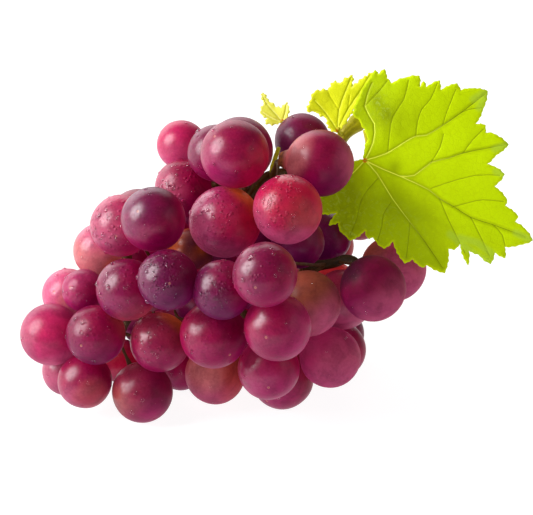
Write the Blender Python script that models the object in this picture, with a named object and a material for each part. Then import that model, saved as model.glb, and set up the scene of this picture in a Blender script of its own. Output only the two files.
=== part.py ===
"""A bunch of large red table grapes lying on its side, with its stem and three leaves.

The side that faces an eye in front of it and above, the view from which the bunch was measured, is laid
out berry by berry; the far side, the underside and the middle are filled by a rule.
"""

import math
import random

import bmesh
import bpy
from mathutils import Vector, geometry

MM = 0.001

# The view that the table was measured in. The eye looks along +Y and down by this angle.
EYE_ELEVATION = math.radians(28)
RIGHT = Vector((1, 0, 0))
UP = Vector((0, math.sin(EYE_ELEVATION), math.cos(EYE_ELEVATION)))
NEAR = Vector((0, -math.cos(EYE_ELEVATION), math.sin(EYE_ELEVATION)))

# The berries of the measured side, in millimetres: how far across and up the centre lies in that view,
# the diameter, and the neighbours that the berry hides in part.
BERRIES = {
    "b01": (-16.5, 111.5, 20.0, ""),
    "b02": (5.0, 107.5, 27.5, "b03 b04 b07"),
    "b03": (7.0, 109.5, 26.5, ""),
    "b04": (-2.5, 108.0, 23.0, "b01 b05"),
    "b05": (-15.5, 94.0, 23.5, "b01"),
    "b06": (-27.5, 81.5, 26.0, "b05 b40 b41"),
    "b07": (1.0, 80.5, 29.0, "b05 b41 b43"),
    "b08": (26.0, 85.5, 28.0, "b07 b11 b12 b28 b43"),
    "b09": (17.0, 59.5, 26.0, "b07 b18 b16 b15 b28 b43"),
    "b10": (32.0, 113.0, 22.5, ""),
    "b11": (39.0, 104.0, 27.0, "b10"),
    "b12": (41.5, 74.5, 20.5, "b27 b44"),
    "b13": (60.0, 54.0, 26.5, "b14 b23 b26"),
    "b14": (68.5, 62.0, 26.5, ""),
    "b15": (34.0, 48.0, 26.5, "b26 b23 b21"),
    "b16": (22.0, 38.5, 27.0, "b17 b15 b19"),
    "b17": (-3.5, 35.5, 27.0, "b24 b36"),
    "b18": (0.0, 53.5, 24.0, "b17 b41"),
    "b19": (18.5, 22.0, 25.0, "b20 b24 b21"),
    "b20": (24.0, 18.0, 25.0, ""),
    "b21": (43.0, 26.5, 24.5, "b22 b20"),
    "b22": (46.0, 29.5, 23.0, ""),
    "b23": (48.0, 49.5, 24.0, "b22 b26"),
    "b24": (-3.0, 19.5, 24.0, "b25"),
    "b25": (-17.0, 22.5, 19.0, ""),
    "b26": (45.0, 53.5, 21.5, ""),
    "b27": (44.0, 71.0, 17.5, ""),
    "b28": (30.0, 72.5, 21.5, "b12"),
    "b29": (-68.5, 35.5, 25.0, "b32 b38"),
    "b30": (-50.5, 35.5, 24.0, "b29 b31 b37 b38 b42"),
    "b31": (-55.5, 53.0, 17.5, "b32"),
    "b32": (-62.0, 51.5, 21.0, ""),
    "b33": (-38.0, 53.5, 25.0, "b30 b31 b35"),
    "b34": (-21.5, 57.5, 24.5, "b33 b36 b41"),
    "b35": (-49.0, 69.0, 22.0, "b32"),
    "b36": (-25.0, 32.5, 24.0, "b25 b39 b42"),
    "b37": (-55.0, 17.0, 22.0, "b38"),
    "b38": (-62.5, 21.0, 20.0, ""),
    "b39": (-32.0, 12.5, 24.5, "b25 b42"),
    "b40": (-40.5, 79.0, 25.0, "b35"),
    "b41": (-13.0, 68.5, 19.0, ""),
    "b42": (-40.0, 24.5, 18.0, ""),
    "b43": (13.0, 71.5, 18.0, ""),
    "b44": (55.0, 82.5, 18.5, ""),
}


# A berry that the large leaf lies in front of stays below these depths, and b11 stands in front of it.
DEPTH_AT_MOST = {"b12": -10.8, "b14": -13.0, "b27": -14.0, "b44": -11.0}
DEPTH_AT_LEAST = {"b11": 8.0}

PRESS = 0.5  # how far two touching berries press into each other
FLOOR = 1.9  # height of the surface before the bunch is moved to stand on z = 0
SQUASH = 0.4  # how far a berry that carries the bunch is flattened
SURE_PRESS = 2.4  # two berries pressed together less than this also share a short join
JOIN_HALF = 1.6
NEAR_SEGMENTS = 11
FAR_SEGMENTS = 9
FACET_ALLOWANCE = 1.012  # the corners stand this much outside the true round

# The outline that holds the berries' centres, in the measured view, and how far the bunch bulges out
# of its middle plane towards the eye and away from it.
OUTLINE_CENTRE = (-2.0, 62.0)
OUTLINE_HALF = (70.0, 51.0)
NEAR_BULGE = 34.0
FAR_BULGE = 42.0
MIDDLE_AT_FOOT = 2.6
MIDDLE_LEAN = -0.27
FOOT_UP = 12.5

# The berries out of sight.
HIDDEN_SPACING = 22.0
HIDDEN_DIAMETERS = (20.5, 25.0)
SEED = 11

# Routes in the same view: across, up, depth towards the eye, and the half thickness there.
STALK = [
    (59, 127, -17, 2.2),
    (54, 120.5, -17, 2.8),
    (48, 114.5, -17, 2.4),
    (43, 102.5, -24.5, 2.2),
    (36, 99.5, -27, 2.2),
    (30, 98, -26, 2.2),
    (23.5, 100, -20, 2.3),
    (17, 96.5, -16, 2.4),
    (12, 91, -14, 2.3),
    (4, 82, -15, 2.2),
    (-6, 71, -15, 2.0),
    (-18, 60, -12, 1.8),
    (-32, 49, -8, 1.6),
    (-45, 41, -7, 1.4),
    (-53, 37, -8, 1.2),
]
BRANCHES = {
    "shoulder": [
        (6, 84, -15, 1.8),
        (18, 72, -11, 1.8),
        (30, 64, -6, 1.8),
        (36, 63, -4.5, 1.7),
        (44, 64, -0.5, 1.6),
        (51, 66.5, -5, 1.5),
        (54.5, 66.5, -9, 1.3),
    ],
    "neck": [
        (19, 97.5, -17, 1.6),
        (20.5, 100, -10, 1.4),
        (21.5, 102.5, -3, 1.3),
        (22.2, 104.2, 2.0, 1.5),
    ],
    "tip": [
        (-32, 49, -8, 1.3),
        (-38, 41, -12, 1.2),
        (-40, 36, -16, 1.0),
    ],
}
NECK_TIP = (23.3, 105.6, 4.6)
NECK_HALF = 1.7
STALK_SIDES = 8
STALK_CLEARANCE = 0.5

# The large leaf: its outline, measured from the point where the veins meet, in millimetres.
LARGE_HUB = (57.0, 105.2, -2.0)
LARGE_OUTLINE = [
    (-4.8, 18.4), (-2.2, 25.8), (1.6, 33.0), (4.6, 36.2), (7.9, 36.2), (10.8, 30.9), (16.5, 33.3),
    (21.9, 33.9), (22.0, 29.3), (23.6, 31.8), (24.6, 29.3), (29.9, 32.1), (30.4, 28.2), (37.0, 30.9),
    (38.4, 28.2), (42.7, 28.9), (49.2, 27.9), (47.4, 20.5), (44.4, 14.6), (48.3, 14.3), (48.4, 11.2),
    (51.3, 10.9), (57.6, 6.4), (52.5, 2.0), (48.9, -1.5), (51.9, -2.4), (56.0, -5.6), (51.9, -10.4),
    (57.0, -15.8), (56.2, -18.2), (61.4, -22.3), (60.2, -24.6), (64.4, -27.6), (67.2, -32.1),
    (62.0, -33.9), (56.0, -34.7), (56.2, -39.2), (52.0, -37.0), (50.3, -41.6), (45.4, -37.8),
    (41.6, -36.2), (41.3, -42.2), (38.0, -33.4), (36.0, -35.8), (33.5, -35.4), (32.0, -45.2),
    (24.8, -41.9), (23.0, -42.9), (18.9, -39.5), (16.0, -41.3), (11.2, -32.4), (7.6, -35.4),
    (3.2, -30.9), (1.1, -31.3), (0.0, -28.2), (-5.8, -32.1), (-8.1, -30.0), (-10.2, -28.2),
    (-12.3, -25.9), (-12.2, -21.9), (-16.4, -21.4), (-16.2, -15.2), (-14.5, -11.5), (-10.0, -7.0),
    (-8.0, -2.0), (-4.8, -0.6), (-0.6, 0.4), (-0.4, 3.3), (1.1, 8.6), (-0.1, 12.2), (-2.2, 16.0),
]
LARGE_PETIOLE = [
    (57.2, 104.6, -2.6, 0.9),
    (58.0, 107.0, -7.0, 1.0),
    (58.2, 112.0, -11.5, 1.1),
    (57.4, 117.5, -12.2, 1.3),
]

SMALL_HUB = (46.2, 117.2, -9.5)
SMALL_OUTLINE = [
    (0.6, 0.2), (4.4, 5.2), (7.4, 11.0), (10.2, 15.0), (13.9, 23.4), (10.0, 21.0), (5.6, 17.2),
    (5.9, 22.4), (0.8, 19.0), (-1.2, 20.1), (-4.0, 16.4), (-9.2, 15.9), (-10.8, 12.4), (-12.5, 7.9),
    (-8.8, 7.4), (-4.7, 5.0), (-2.6, 1.2), (-0.6, 0.2),
]
SMALL_PETIOLE = [
    (46.4, 118.2, -9.9, 0.8),
    (46.6, 116.6, -12.0, 0.8),
    (47.4, 115.9, -13.6, 0.9),
]

YOUNG_HUB = (24.0, 121.0, -31.0)
YOUNG_OUTLINE = [
    (0.5, 0.0), (2.0, 1.5), (2.7, 5.9), (1.7, 7.8), (-0.4, 5.6), (-2.6, 5.8), (-5.4, 8.2),
    (-7.6, 11.6), (-8.6, 11.2), (-7.4, 7.2), (-8.8, 5.4), (-8.2, 2.5), (-6.2, 1.3), (-7.0, -0.9),
    (-2.0, -1.2), (-0.5, -0.4),
]
YOUNG_PETIOLE = [
    (23.8, 121.4, -31.4, 0.7),
    (24.6, 117.0, -36.0, 0.7),
    (25.2, 110.0, -38.0, 0.8),
    (26.6, 103.5, -33.5, 0.8),
    (27.2, 101.2, -30.2, 0.9),
]

BLADE = 0.9  # blade thickness along the view, which leaves over 0.6 mm square to the surface

FINISHES = {
    "berries": ((0.20, 0.012, 0.040), 0.25),
    "stem": ((0.16, 0.13, 0.035), 0.60),
    "leaf_large": ((0.26, 0.36, 0.010), 0.50),
    "leaf_small": ((0.55, 0.50, 0.010), 0.50),
    "leaf_young": ((0.68, 0.66, 0.18), 0.55),
}


def place(across, up, depth):
    """The point of the bunch, in millimetres, that lies there in the measured view."""
    return RIGHT * across + UP * up + NEAR * depth


def seen(point):
    """Across, up and depth of a point, the other way round."""
    return Vector((point.dot(RIGHT), point.dot(UP), point.dot(NEAR)))


def middle(up):
    """Depth of the bunch's middle plane, which leans back."""
    return MIDDLE_AT_FOOT + MIDDLE_LEAN * (up - FOOT_UP)


def bulge(across, up):
    """How far the bunch stands out of its middle plane there, from 0 at its outline to 1."""
    inside = 1 - sum(
        ((value - centre) / half) ** 2
        for value, centre, half in zip((across, up), OUTLINE_CENTRE, OUTLINE_HALF)
    )
    return math.sqrt(max(0.0, inside))


def resting_depth(up, radius):
    """The depth at which a berry of that height in the view lies on the surface."""
    height = FLOOR + radius - SQUASH
    return (height - up * math.cos(EYE_ELEVATION)) / math.sin(EYE_ELEVATION)


def depth_between(one, other):
    """How much deeper one berry of the table lies than another that it hides in part, or None."""
    apart = math.dist(BERRIES[one][:2], BERRIES[other][:2])
    reach = (BERRIES[one][2] + BERRIES[other][2]) / 2 - PRESS
    return math.sqrt(reach**2 - apart**2) if apart < reach else None


def near_side():
    """Centre and radius of each measured berry, with depths that hide its neighbours as they were seen."""
    wanted, least = {}, {}
    for name, (across, up, diameter, _) in BERRIES.items():
        rest = resting_depth(up, diameter / 2)
        least[name] = max(rest, DEPTH_AT_LEAST.get(name, rest))
        wanted[name] = rest if rest > -25 else middle(up) + NEAR_BULGE * bulge(across, up)
    steps = [
        (name, other, depth_between(name, other))
        for name, row in BERRIES.items()
        for other in row[3].split()
        if depth_between(name, other) is not None
    ]
    depth = dict(wanted)
    for turn in range(2500):
        pull = 0.03 if turn < 1500 else 0.0
        for name in depth:
            depth[name] += pull * (wanted[name] - depth[name])
        for front, back, step in steps:
            short = step - (depth[front] - depth[back])
            if short > 0:
                depth[front] += short / 2
                depth[back] -= short / 2
        for name in depth:
            depth[name] = min(max(depth[name], least[name]), DEPTH_AT_MOST.get(name, 99.0))
    return {
        name: (place(across, up, depth[name]), diameter / 2)
        for name, (across, up, diameter, _) in BERRIES.items()
    }


def curve_value(p, q, r, s, t):
    """A value on the smooth curve from q to r whose neighbours are p and s."""
    square = (2 * p - 5 * q + 4 * r - s) * t**2
    cube = (3 * q - p - 3 * r + s) * t**3
    return 0.5 * (2 * q + (r - p) * t + square + cube)


def smooth_route(points, steps=3):
    """Points and half thicknesses along a smooth curve through a route's own points."""
    ends = [points[0], *points, points[-1]]
    rows = []
    for corners in zip(ends, ends[1:], ends[2:], ends[3:]):
        for step in range(steps):
            rows.append([curve_value(*values, step / steps) for values in zip(*corners)])
    rows.append(list(points[-1]))
    return [(place(*row[:3]), row[3]) for row in rows]


def stay_inside(point, radius, shown):
    """Shift, in the view, that brings a hidden berry's rim back behind the berries that were seen."""
    across, up, _ = seen(point)
    shift = Vector((0, 0))
    for step in range(12):
        angle = math.tau * step / 12
        rim = (across + radius * math.cos(angle), up + radius * math.sin(angle))
        outside = min(math.dist(rim, centre) - reach for centre, reach in shown) - 1.0
        if outside > 0:
            shift -= Vector((math.cos(angle), math.sin(angle))) * min(outside, 3.0)
    return shift


def in_front(point, other):
    """Whether a hidden berry would stand before a measured one in the measured view."""
    apart = seen(point) - seen(other)
    return apart.z > 2 and math.hypot(apart.x, apart.y) < 17


def nearest_on_stalk(point, stalk):
    """The stalk's point nearest to a berry, and its half thickness."""
    return min(stalk, key=lambda row: (row[0] - point).length)


def far_side(near, stalk):
    """Berries out of sight: a jittered close packing behind the measured ones, eased apart and together."""
    rng = random.Random(SEED)
    fixed = list(near.values())
    shown = [(tuple(seen(point)[:2]), radius) for point, radius in fixed]
    loose = []
    row_step, layer_step = HIDDEN_SPACING * math.sqrt(3) / 2, HIDDEN_SPACING * math.sqrt(2 / 3)
    for layer in range(-5, 3):
        for row in range(-4, 5):
            for column in range(-5, 6):
                offset = 0.5 * (row % 2) + 0.5 * (layer % 2)
                across = OUTLINE_CENTRE[0] + HIDDEN_SPACING * (column + offset)
                up = OUTLINE_CENTRE[1] + row_step * (row + (layer % 2) / 3)
                depth = middle(up) - 6 + layer_step * layer
                radius = rng.uniform(*HIDDEN_DIAMETERS) / 2
                point = place(across, up, depth) + Vector([rng.uniform(-2.5, 2.5) for _ in range(3)])
                deepest = middle(up) - FAR_BULGE * bulge(across, up)
                if bulge(across, up) < 0.1 or depth < deepest:
                    continue
                if point.z < FLOOR + 0.4 * radius:
                    continue
                if any((point - other).length < 0.7 * (radius + reach) for other, reach in fixed):
                    continue
                if any(in_front(point, other) for other, _ in fixed):
                    continue
                loose.append([point, radius])
    heart = place(OUTLINE_CENTRE[0], OUTLINE_CENTRE[1], middle(OUTLINE_CENTRE[1]))
    for turn in range(260):
        pull = 0.012 if turn < 180 else 0.0
        for index, (point, radius) in enumerate(loose):
            point = point + (heart - point) * pull
            for other, reach in fixed + loose[:index] + loose[index + 1 :]:
                gap = point - other
                short = radius + reach - PRESS - gap.length
                if short > 0:
                    point = point + gap.normalized() * short * 0.6
            twig, half = nearest_on_stalk(point, stalk)
            short = radius + half + STALK_CLEARANCE + 0.4 - (point - twig).length
            if short > 0:
                point = point + (point - twig).normalized() * short
            shift = stay_inside(point, radius, shown)
            point = point + (RIGHT * shift.x + UP * shift.y) * 0.3
            point.z = max(point.z, FLOOR + radius - SQUASH)
            loose[index][0] = point
    return settled(loose, fixed)


def settled(loose, fixed):
    """The hidden berries that found room, without those still pressed deep into another."""
    kept = []
    for point, radius in loose:
        others = fixed + kept
        if all((point - other).length > radius + reach - 1.6 for other, reach in others):
            kept.append((point, radius))
    return kept


def spanning_joins(berries):
    """Pairs of berries that join all of them by the closest neighbours, each with the gap between the two."""
    joined, joins = [0], []
    left = list(range(1, len(berries)))
    while left:
        gap, one, other = min(
            ((berries[a][0] - berries[b][0]).length - berries[a][1] - berries[b][1], a, b)
            for a in joined for b in left
        )
        joins.append((one, other, gap))
        joined.append(other)
        left.remove(other)
    return joins


def mesh_object(name, mesh_maker, collection):
    """An object of the bmesh that the maker fills, in metres."""
    shape = bmesh.new()
    mesh_maker(shape)
    mesh = bpy.data.meshes.new(name)
    shape.to_mesh(mesh)
    shape.free()
    made = bpy.data.objects.new(name, mesh)
    collection.objects.link(made)
    return made


def berry_maker(point, radius, outward, segments):
    """Fills a bmesh with one berry whose poles are its stalk end and its flower end."""
    def fill(shape):
        size = radius * FACET_ALLOWANCE * MM
        made = bmesh.ops.create_uvsphere(shape, u_segments=segments, v_segments=6, radius=size)
        turn = Vector((0, 0, 1)).rotation_difference(outward).to_matrix()
        for vert in made["verts"]:
            vert.co = turn @ vert.co + point * MM
    return fill


def tube_maker(rows, sides):
    """Fills a bmesh with a closed tube through (point, half thickness) rows."""
    def fill(shape):
        rings = []
        across = None
        for index, (point, half) in enumerate(rows):
            before, after = rows[max(index - 1, 0)][0], rows[min(index + 1, len(rows) - 1)][0]
            along = (after - before).normalized()
            if across is None:
                across = along.orthogonal().normalized()
            across = (across - along * across.dot(along)).normalized()
            side = along.cross(across)
            rings.append([
                shape.verts.new((point + (across * math.cos(a) + side * math.sin(a)) * half) * MM)
                for a in (math.tau * step / sides for step in range(sides))
            ])
        for one, two in zip(rings, rings[1:]):
            for step in range(sides):
                shape.faces.new((one[step], one[step - 1], two[step - 1], two[step]))
        shape.faces.new(rings[0])
        shape.faces.new(rings[-1][::-1])
        bmesh.ops.recalc_face_normals(shape, faces=shape.faces)
    return fill


def leaf_depth(kind, across, up):
    """How far a leaf's surface lies towards the eye from its hub, with its folds along the main veins."""
    if kind == "leaf_large":
        far = math.hypot(across, up)
        angle = math.atan2(up, across)
        waves = 0.030 * far * math.cos(5 * angle + 1.3)
        lean = -0.09 * up
        droop = -0.0011 * max(across, 0.0) ** 2
        tuck = -0.30 * max(-across - 1.0, 0.0) * max(0.0, 1 - abs(up + 5) / 16)
        return waves + lean + droop + tuck
    if kind == "leaf_small":
        return 0.10 * abs(across + 0.2 * up) - 0.16 * up
    return 0.12 * abs(across + 0.6 * up) + 0.05 * up


def leaf_maker(kind, hub, outline, cell):
    """Fills a bmesh with a thin arched blade, its two faces split alike into triangles."""
    def fill(shape):
        edges = [(step, (step + 1) % len(outline)) for step in range(len(outline))]
        inner = []
        low = [min(point[axis] for point in outline) for axis in (0, 1)]
        high = [max(point[axis] for point in outline) for axis in (0, 1)]
        row = 0
        up = low[1] + 0.5 * cell
        while up < high[1]:
            across = low[0] + cell * (0.5 if row % 2 else 1.0)
            while across < high[0]:
                if inside(across, up, outline) and rim_distance(across, up, outline) > 0.42 * cell:
                    inner.append((across, up))
                across += cell
            up += cell * math.sqrt(3) / 2
            row += 1
        flat = [Vector(point) for point in outline + inner]
        points, _, faces, *_ = geometry.delaunay_2d_cdt(flat, edges, [], 1, 1e-6)
        front, back = [], []
        for across, up in points:
            depth = hub[2] + leaf_depth(kind, across, up)
            front.append(shape.verts.new(place(hub[0] + across, hub[1] + up, depth) * MM))
            back.append(shape.verts.new(place(hub[0] + across, hub[1] + up, depth - BLADE) * MM))
        for a, b, c in faces:
            shape.faces.new((front[a], front[b], front[c]))
            shape.faces.new((back[a], back[c], back[b]))
        used = {}
        for face in faces:
            for one, two in zip(face, face[1:] + face[:1]):
                used[(one, two)] = True
        for one, two in used:
            if (two, one) not in used:
                shape.faces.new((front[two], front[one], back[one]))
                shape.faces.new((front[two], back[one], back[two]))
        bmesh.ops.recalc_face_normals(shape, faces=shape.faces)
    return fill


def inside(across, up, outline):
    """Whether a point lies within an outline."""
    crossed = False
    for (x1, y1), (x2, y2) in zip(outline, outline[1:] + outline[:1]):
        if (y1 > up) != (y2 > up) and across < x1 + (up - y1) * (x2 - x1) / (y2 - y1):
            crossed = not crossed
    return crossed


def rim_distance(across, up, outline):
    """Distance from a point to the nearest edge of an outline."""
    point = Vector((across, up, 0))
    best = 1e9
    for one, two in zip(outline, outline[1:] + outline[:1]):
        start, end = Vector((*one, 0)), Vector((*two, 0))
        near, share = geometry.intersect_point_line(point, start, end)
        near = start if share < 0 else end if share > 1 else near
        best = min(best, (point - near).length)
    return best


def fuse(name, makers):
    """One body of the shapes that the makers fill, under that name."""
    scene = bpy.context.scene.collection
    parts = bpy.data.collections.new(name + "_parts")
    scene.children.link(parts)
    body = mesh_object(name, makers[0], scene)
    for step, maker in enumerate(makers[1:]):
        mesh_object(f"{name}_{step}", maker, parts)
    if len(makers) > 1:
        union = body.modifiers.new("union", "BOOLEAN")
        union.operation = "UNION"
        union.operand_type = "COLLECTION"
        union.collection = parts
        union.solver = "MANIFOLD"
        bpy.context.view_layer.objects.active = body
        bpy.ops.object.modifier_apply(modifier="union")
    for part in list(parts.objects):
        bpy.data.objects.remove(part)
    bpy.data.collections.remove(parts)
    return body


def trim_below(body, height):
    """Flattens what reaches below the surface that the bunch lies on."""
    size = 1000 * MM
    bpy.ops.mesh.primitive_cube_add(size=size, location=(0, 0, height - size / 2))
    block = bpy.context.object
    cut = body.modifiers.new("trim", "BOOLEAN")
    cut.operation = "DIFFERENCE"
    cut.object = block
    cut.solver = "MANIFOLD"
    bpy.context.view_layer.objects.active = body
    bpy.ops.object.modifier_apply(modifier="trim")
    bpy.data.objects.remove(block)


def keep_largest(body):
    """Drops loose scraps and fills closed-off hollows, which are separate shells of the fused mesh."""
    shape = bmesh.new()
    shape.from_mesh(body.data)
    bmesh.ops.triangulate(shape, faces=shape.faces)
    left = set(shape.verts)
    shells = []
    while left:
        shell = {left.pop()}
        edge = set(shell)
        while edge:
            edge = {link.other_vert(vert) for vert in edge for link in vert.link_edges} & left
            left -= edge
            shell |= edge
        shells.append(shell)
    shells.sort(key=len)
    for shell in shells[:-1]:
        bmesh.ops.delete(shape, geom=list(shell), context="VERTS")
    shape.to_mesh(body.data)
    shape.free()


def finish(body):
    """The piece's own material, and smooth shading."""
    colour, roughness = FINISHES[body.name]
    material = bpy.data.materials.new(body.name)
    material.use_nodes = True
    surface = material.node_tree.nodes["Principled BSDF"]
    surface.inputs["Base Color"].default_value = (*colour, 1)
    surface.inputs["Roughness"].default_value = roughness
    surface.inputs["Metallic"].default_value = 0.0
    body.data.materials.clear()
    body.data.materials.append(material)
    body.data.shade_smooth()
    body.data.set_sharp_from_angle(angle=math.radians(50))


def build_berries(near, hidden, stalk):
    """The berries, fused where they press together, with a short stalk wherever one hangs free."""
    berries = list(near.values()) + hidden
    makers = []
    for number, (point, radius) in enumerate(berries):
        outward = (point - nearest_on_stalk(point, stalk)[0]).normalized()
        segments = NEAR_SEGMENTS if number < len(near) else FAR_SEGMENTS
        makers.append(berry_maker(point, radius, outward, segments))
    point, _ = near["b11"]
    makers.append(tube_maker([(point, 6.5), (place(*NECK_TIP), NECK_HALF)], STALK_SIDES))
    for one, other, gap in spanning_joins(berries):
        if gap > -SURE_PRESS:
            makers.append(tube_maker([(berries[one][0], JOIN_HALF), (berries[other][0], JOIN_HALF)], 4))
    body = fuse("berries", makers)
    trim_below(body, FLOOR * MM)
    keep_largest(body)
    return body


def build_stem(stalk):
    """The stalk with its shoot end, and the branches that show between the berries."""
    makers = [tube_maker(stalk, STALK_SIDES)]
    makers += [tube_maker(smooth_route(route, 2), 6) for route in BRANCHES.values()]
    body = fuse("stem", makers)
    keep_largest(body)
    return body


def build_leaf(name, hub, outline, cell, petiole):
    """A leaf with its own small stalk."""
    makers = [leaf_maker(name, hub, outline, cell), tube_maker(smooth_route(petiole, 2), 6)]
    body = fuse(name, makers)
    keep_largest(body)
    return body


def stand_at_origin(bodies):
    """Moves the whole bunch so that the middle of its foot is the origin."""
    corners = [vert.co for body in bodies for vert in body.data.vertices]
    low = [min(corner[axis] for corner in corners) for axis in range(3)]
    high = [max(corner[axis] for corner in corners) for axis in range(3)]
    bunch = bpy.data.objects.new("bunch", None)
    bpy.context.scene.collection.objects.link(bunch)
    bunch.location = (-(low[0] + high[0]) / 2, -(low[1] + high[1]) / 2, -low[2])
    for body in bodies:
        body.parent = bunch


def build():
    """The whole bunch."""
    for old in list(bpy.data.objects):
        bpy.data.objects.remove(old)
    near = near_side()
    stalk = smooth_route(STALK)
    twigs = [row for route in BRANCHES.values() for row in smooth_route(route)]
    hidden = far_side(near, stalk + twigs)
    bodies = [
        build_berries(near, hidden, stalk),
        build_stem(stalk),
        build_leaf("leaf_large", LARGE_HUB, LARGE_OUTLINE, 6.0, LARGE_PETIOLE),
        build_leaf("leaf_small", SMALL_HUB, SMALL_OUTLINE, 3.5, SMALL_PETIOLE),
        build_leaf("leaf_young", YOUNG_HUB, YOUNG_OUTLINE, 2.5, YOUNG_PETIOLE),
    ]
    for body in bodies:
        finish(body)
    stand_at_origin(bodies)


build()
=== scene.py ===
"""Red table grapes lying on their side, with bloom and water on their skins, a stalk and three leaves."""

import logging
import math
import random
from collections.abc import Iterable, Sequence
from dataclasses import dataclass, field
from enum import Enum
from itertools import product
from typing import Any

import bmesh
import bpy
from mathutils import Matrix, Vector, geometry, noise


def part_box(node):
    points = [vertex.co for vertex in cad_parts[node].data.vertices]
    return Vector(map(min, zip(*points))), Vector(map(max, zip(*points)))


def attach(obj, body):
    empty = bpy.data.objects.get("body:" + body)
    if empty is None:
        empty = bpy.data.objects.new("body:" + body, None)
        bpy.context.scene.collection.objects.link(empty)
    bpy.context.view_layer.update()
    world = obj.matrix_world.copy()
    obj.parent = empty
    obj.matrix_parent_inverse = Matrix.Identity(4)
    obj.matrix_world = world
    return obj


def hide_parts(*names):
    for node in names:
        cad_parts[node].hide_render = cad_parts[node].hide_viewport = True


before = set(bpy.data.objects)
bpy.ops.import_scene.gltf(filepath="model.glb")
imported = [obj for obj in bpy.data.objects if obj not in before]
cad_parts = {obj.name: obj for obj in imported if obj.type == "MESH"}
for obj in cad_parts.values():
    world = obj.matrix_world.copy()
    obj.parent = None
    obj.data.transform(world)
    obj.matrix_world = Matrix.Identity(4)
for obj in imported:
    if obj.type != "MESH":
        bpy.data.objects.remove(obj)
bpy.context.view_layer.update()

LOG = logging.getLogger("grapes")
MM = 0.001

EYE_ELEVATION = math.radians(28)
RIGHT = Vector((1, 0, 0))
UP = Vector((0, math.sin(EYE_ELEVATION), math.cos(EYE_ELEVATION)))
NEAR = Vector((0, -math.cos(EYE_ELEVATION), math.sin(EYE_ELEVATION)))

# The berries of the measured side, in millimetres: how far across and up the centre lies in that view,
# the diameter, and the neighbours that the berry hides in part.
BERRIES = {
    "b01": (-16.5, 111.5, 20.0, ""),
    "b02": (5.0, 107.5, 27.5, "b03 b04 b07"),
    "b03": (7.0, 109.5, 26.5, ""),
    "b04": (-2.5, 108.0, 23.0, "b01 b05"),
    "b05": (-15.5, 94.0, 23.5, "b01"),
    "b06": (-27.5, 81.5, 26.0, "b05 b40 b41"),
    "b07": (1.0, 80.5, 29.0, "b05 b41 b43"),
    "b08": (26.0, 85.5, 28.0, "b07 b11 b12 b28 b43"),
    "b09": (17.0, 59.5, 26.0, "b07 b18 b16 b15 b28 b43"),
    "b10": (32.0, 113.0, 22.5, ""),
    "b11": (39.0, 104.0, 27.0, "b10"),
    "b12": (41.5, 74.5, 20.5, "b27 b44"),
    "b13": (60.0, 54.0, 26.5, "b14 b23 b26"),
    "b14": (68.5, 62.0, 26.5, ""),
    "b15": (34.0, 48.0, 26.5, "b26 b23 b21"),
    "b16": (22.0, 38.5, 27.0, "b17 b15 b19"),
    "b17": (-3.5, 35.5, 27.0, "b24 b36"),
    "b18": (0.0, 53.5, 24.0, "b17 b41"),
    "b19": (18.5, 22.0, 25.0, "b20 b24 b21"),
    "b20": (24.0, 18.0, 25.0, ""),
    "b21": (43.0, 26.5, 24.5, "b22 b20"),
    "b22": (46.0, 29.5, 23.0, ""),
    "b23": (48.0, 49.5, 24.0, "b22 b26"),
    "b24": (-3.0, 19.5, 24.0, "b25"),
    "b25": (-17.0, 22.5, 19.0, ""),
    "b26": (45.0, 53.5, 21.5, ""),
    "b27": (44.0, 71.0, 17.5, ""),
    "b28": (30.0, 72.5, 21.5, "b12"),
    "b29": (-68.5, 35.5, 25.0, "b32 b38"),
    "b30": (-50.5, 35.5, 24.0, "b29 b31 b37 b38 b42"),
    "b31": (-55.5, 53.0, 17.5, "b32"),
    "b32": (-62.0, 51.5, 21.0, ""),
    "b33": (-38.0, 53.5, 25.0, "b30 b31 b35"),
    "b34": (-21.5, 57.5, 24.5, "b33 b36 b41"),
    "b35": (-49.0, 69.0, 22.0, "b32"),
    "b36": (-25.0, 32.5, 24.0, "b25 b39 b42"),
    "b37": (-55.0, 17.0, 22.0, "b38"),
    "b38": (-62.5, 21.0, 20.0, ""),
    "b39": (-32.0, 12.5, 24.5, "b25 b42"),
    "b40": (-40.5, 79.0, 25.0, "b35"),
    "b41": (-13.0, 68.5, 19.0, ""),
    "b42": (-40.0, 24.5, 18.0, ""),
    "b43": (13.0, 71.5, 18.0, ""),
    "b44": (55.0, 82.5, 18.5, ""),
}
# Limits on the depths that the berries' overlaps leave open.
DEPTH_AT_MOST = {"b12": -10.8, "b14": -13.0, "b27": -14.0, "b44": -11.0}
DEPTH_AT_LEAST = {"b11": 8.0}
# How far berries press into each other, how high the surface is, and how far a berry is squashed on it.
PRESS = 0.5
FLOOR = 1.9
SQUASH = 0.4
# The bunch's outline in that view, how far it bulges before and behind its middle, and how that leans.
OUTLINE_CENTRE = (-2.0, 62.0)
OUTLINE_HALF = (70.0, 51.0)
NEAR_BULGE = 34.0
FAR_BULGE = 42.0
MIDDLE_AT_FOOT = 2.6
MIDDLE_LEAN = -0.27
FOOT_UP = 12.5
# The hidden berries: how far apart they start, their diameters, and the seed of their places.
HIDDEN_SPACING = 22.0
HIDDEN_DIAMETERS = (20.5, 25.0)
SEED = 11

# Where the flower end of a berry shows, across and up from the berry's centre.
FLOWER_ENDS = {
    "b02": (-8.0, 6.9), "b06": (-6.0, 3.1), "b09": (-3.8, -5.1), "b16": (-4.6, -3.9), "b19": (-0.1, -7.4),
    "b20": (-6.2, -9.1), "b30": (-5.7, -4.3), "b31": (-5.1, 1.4), "b32": (-5.4, 1.1), "b34": (0.6, -1.5),
    "b40": (-1.9, -4.3), "b17": (6.5, -7.9),
}

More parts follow.
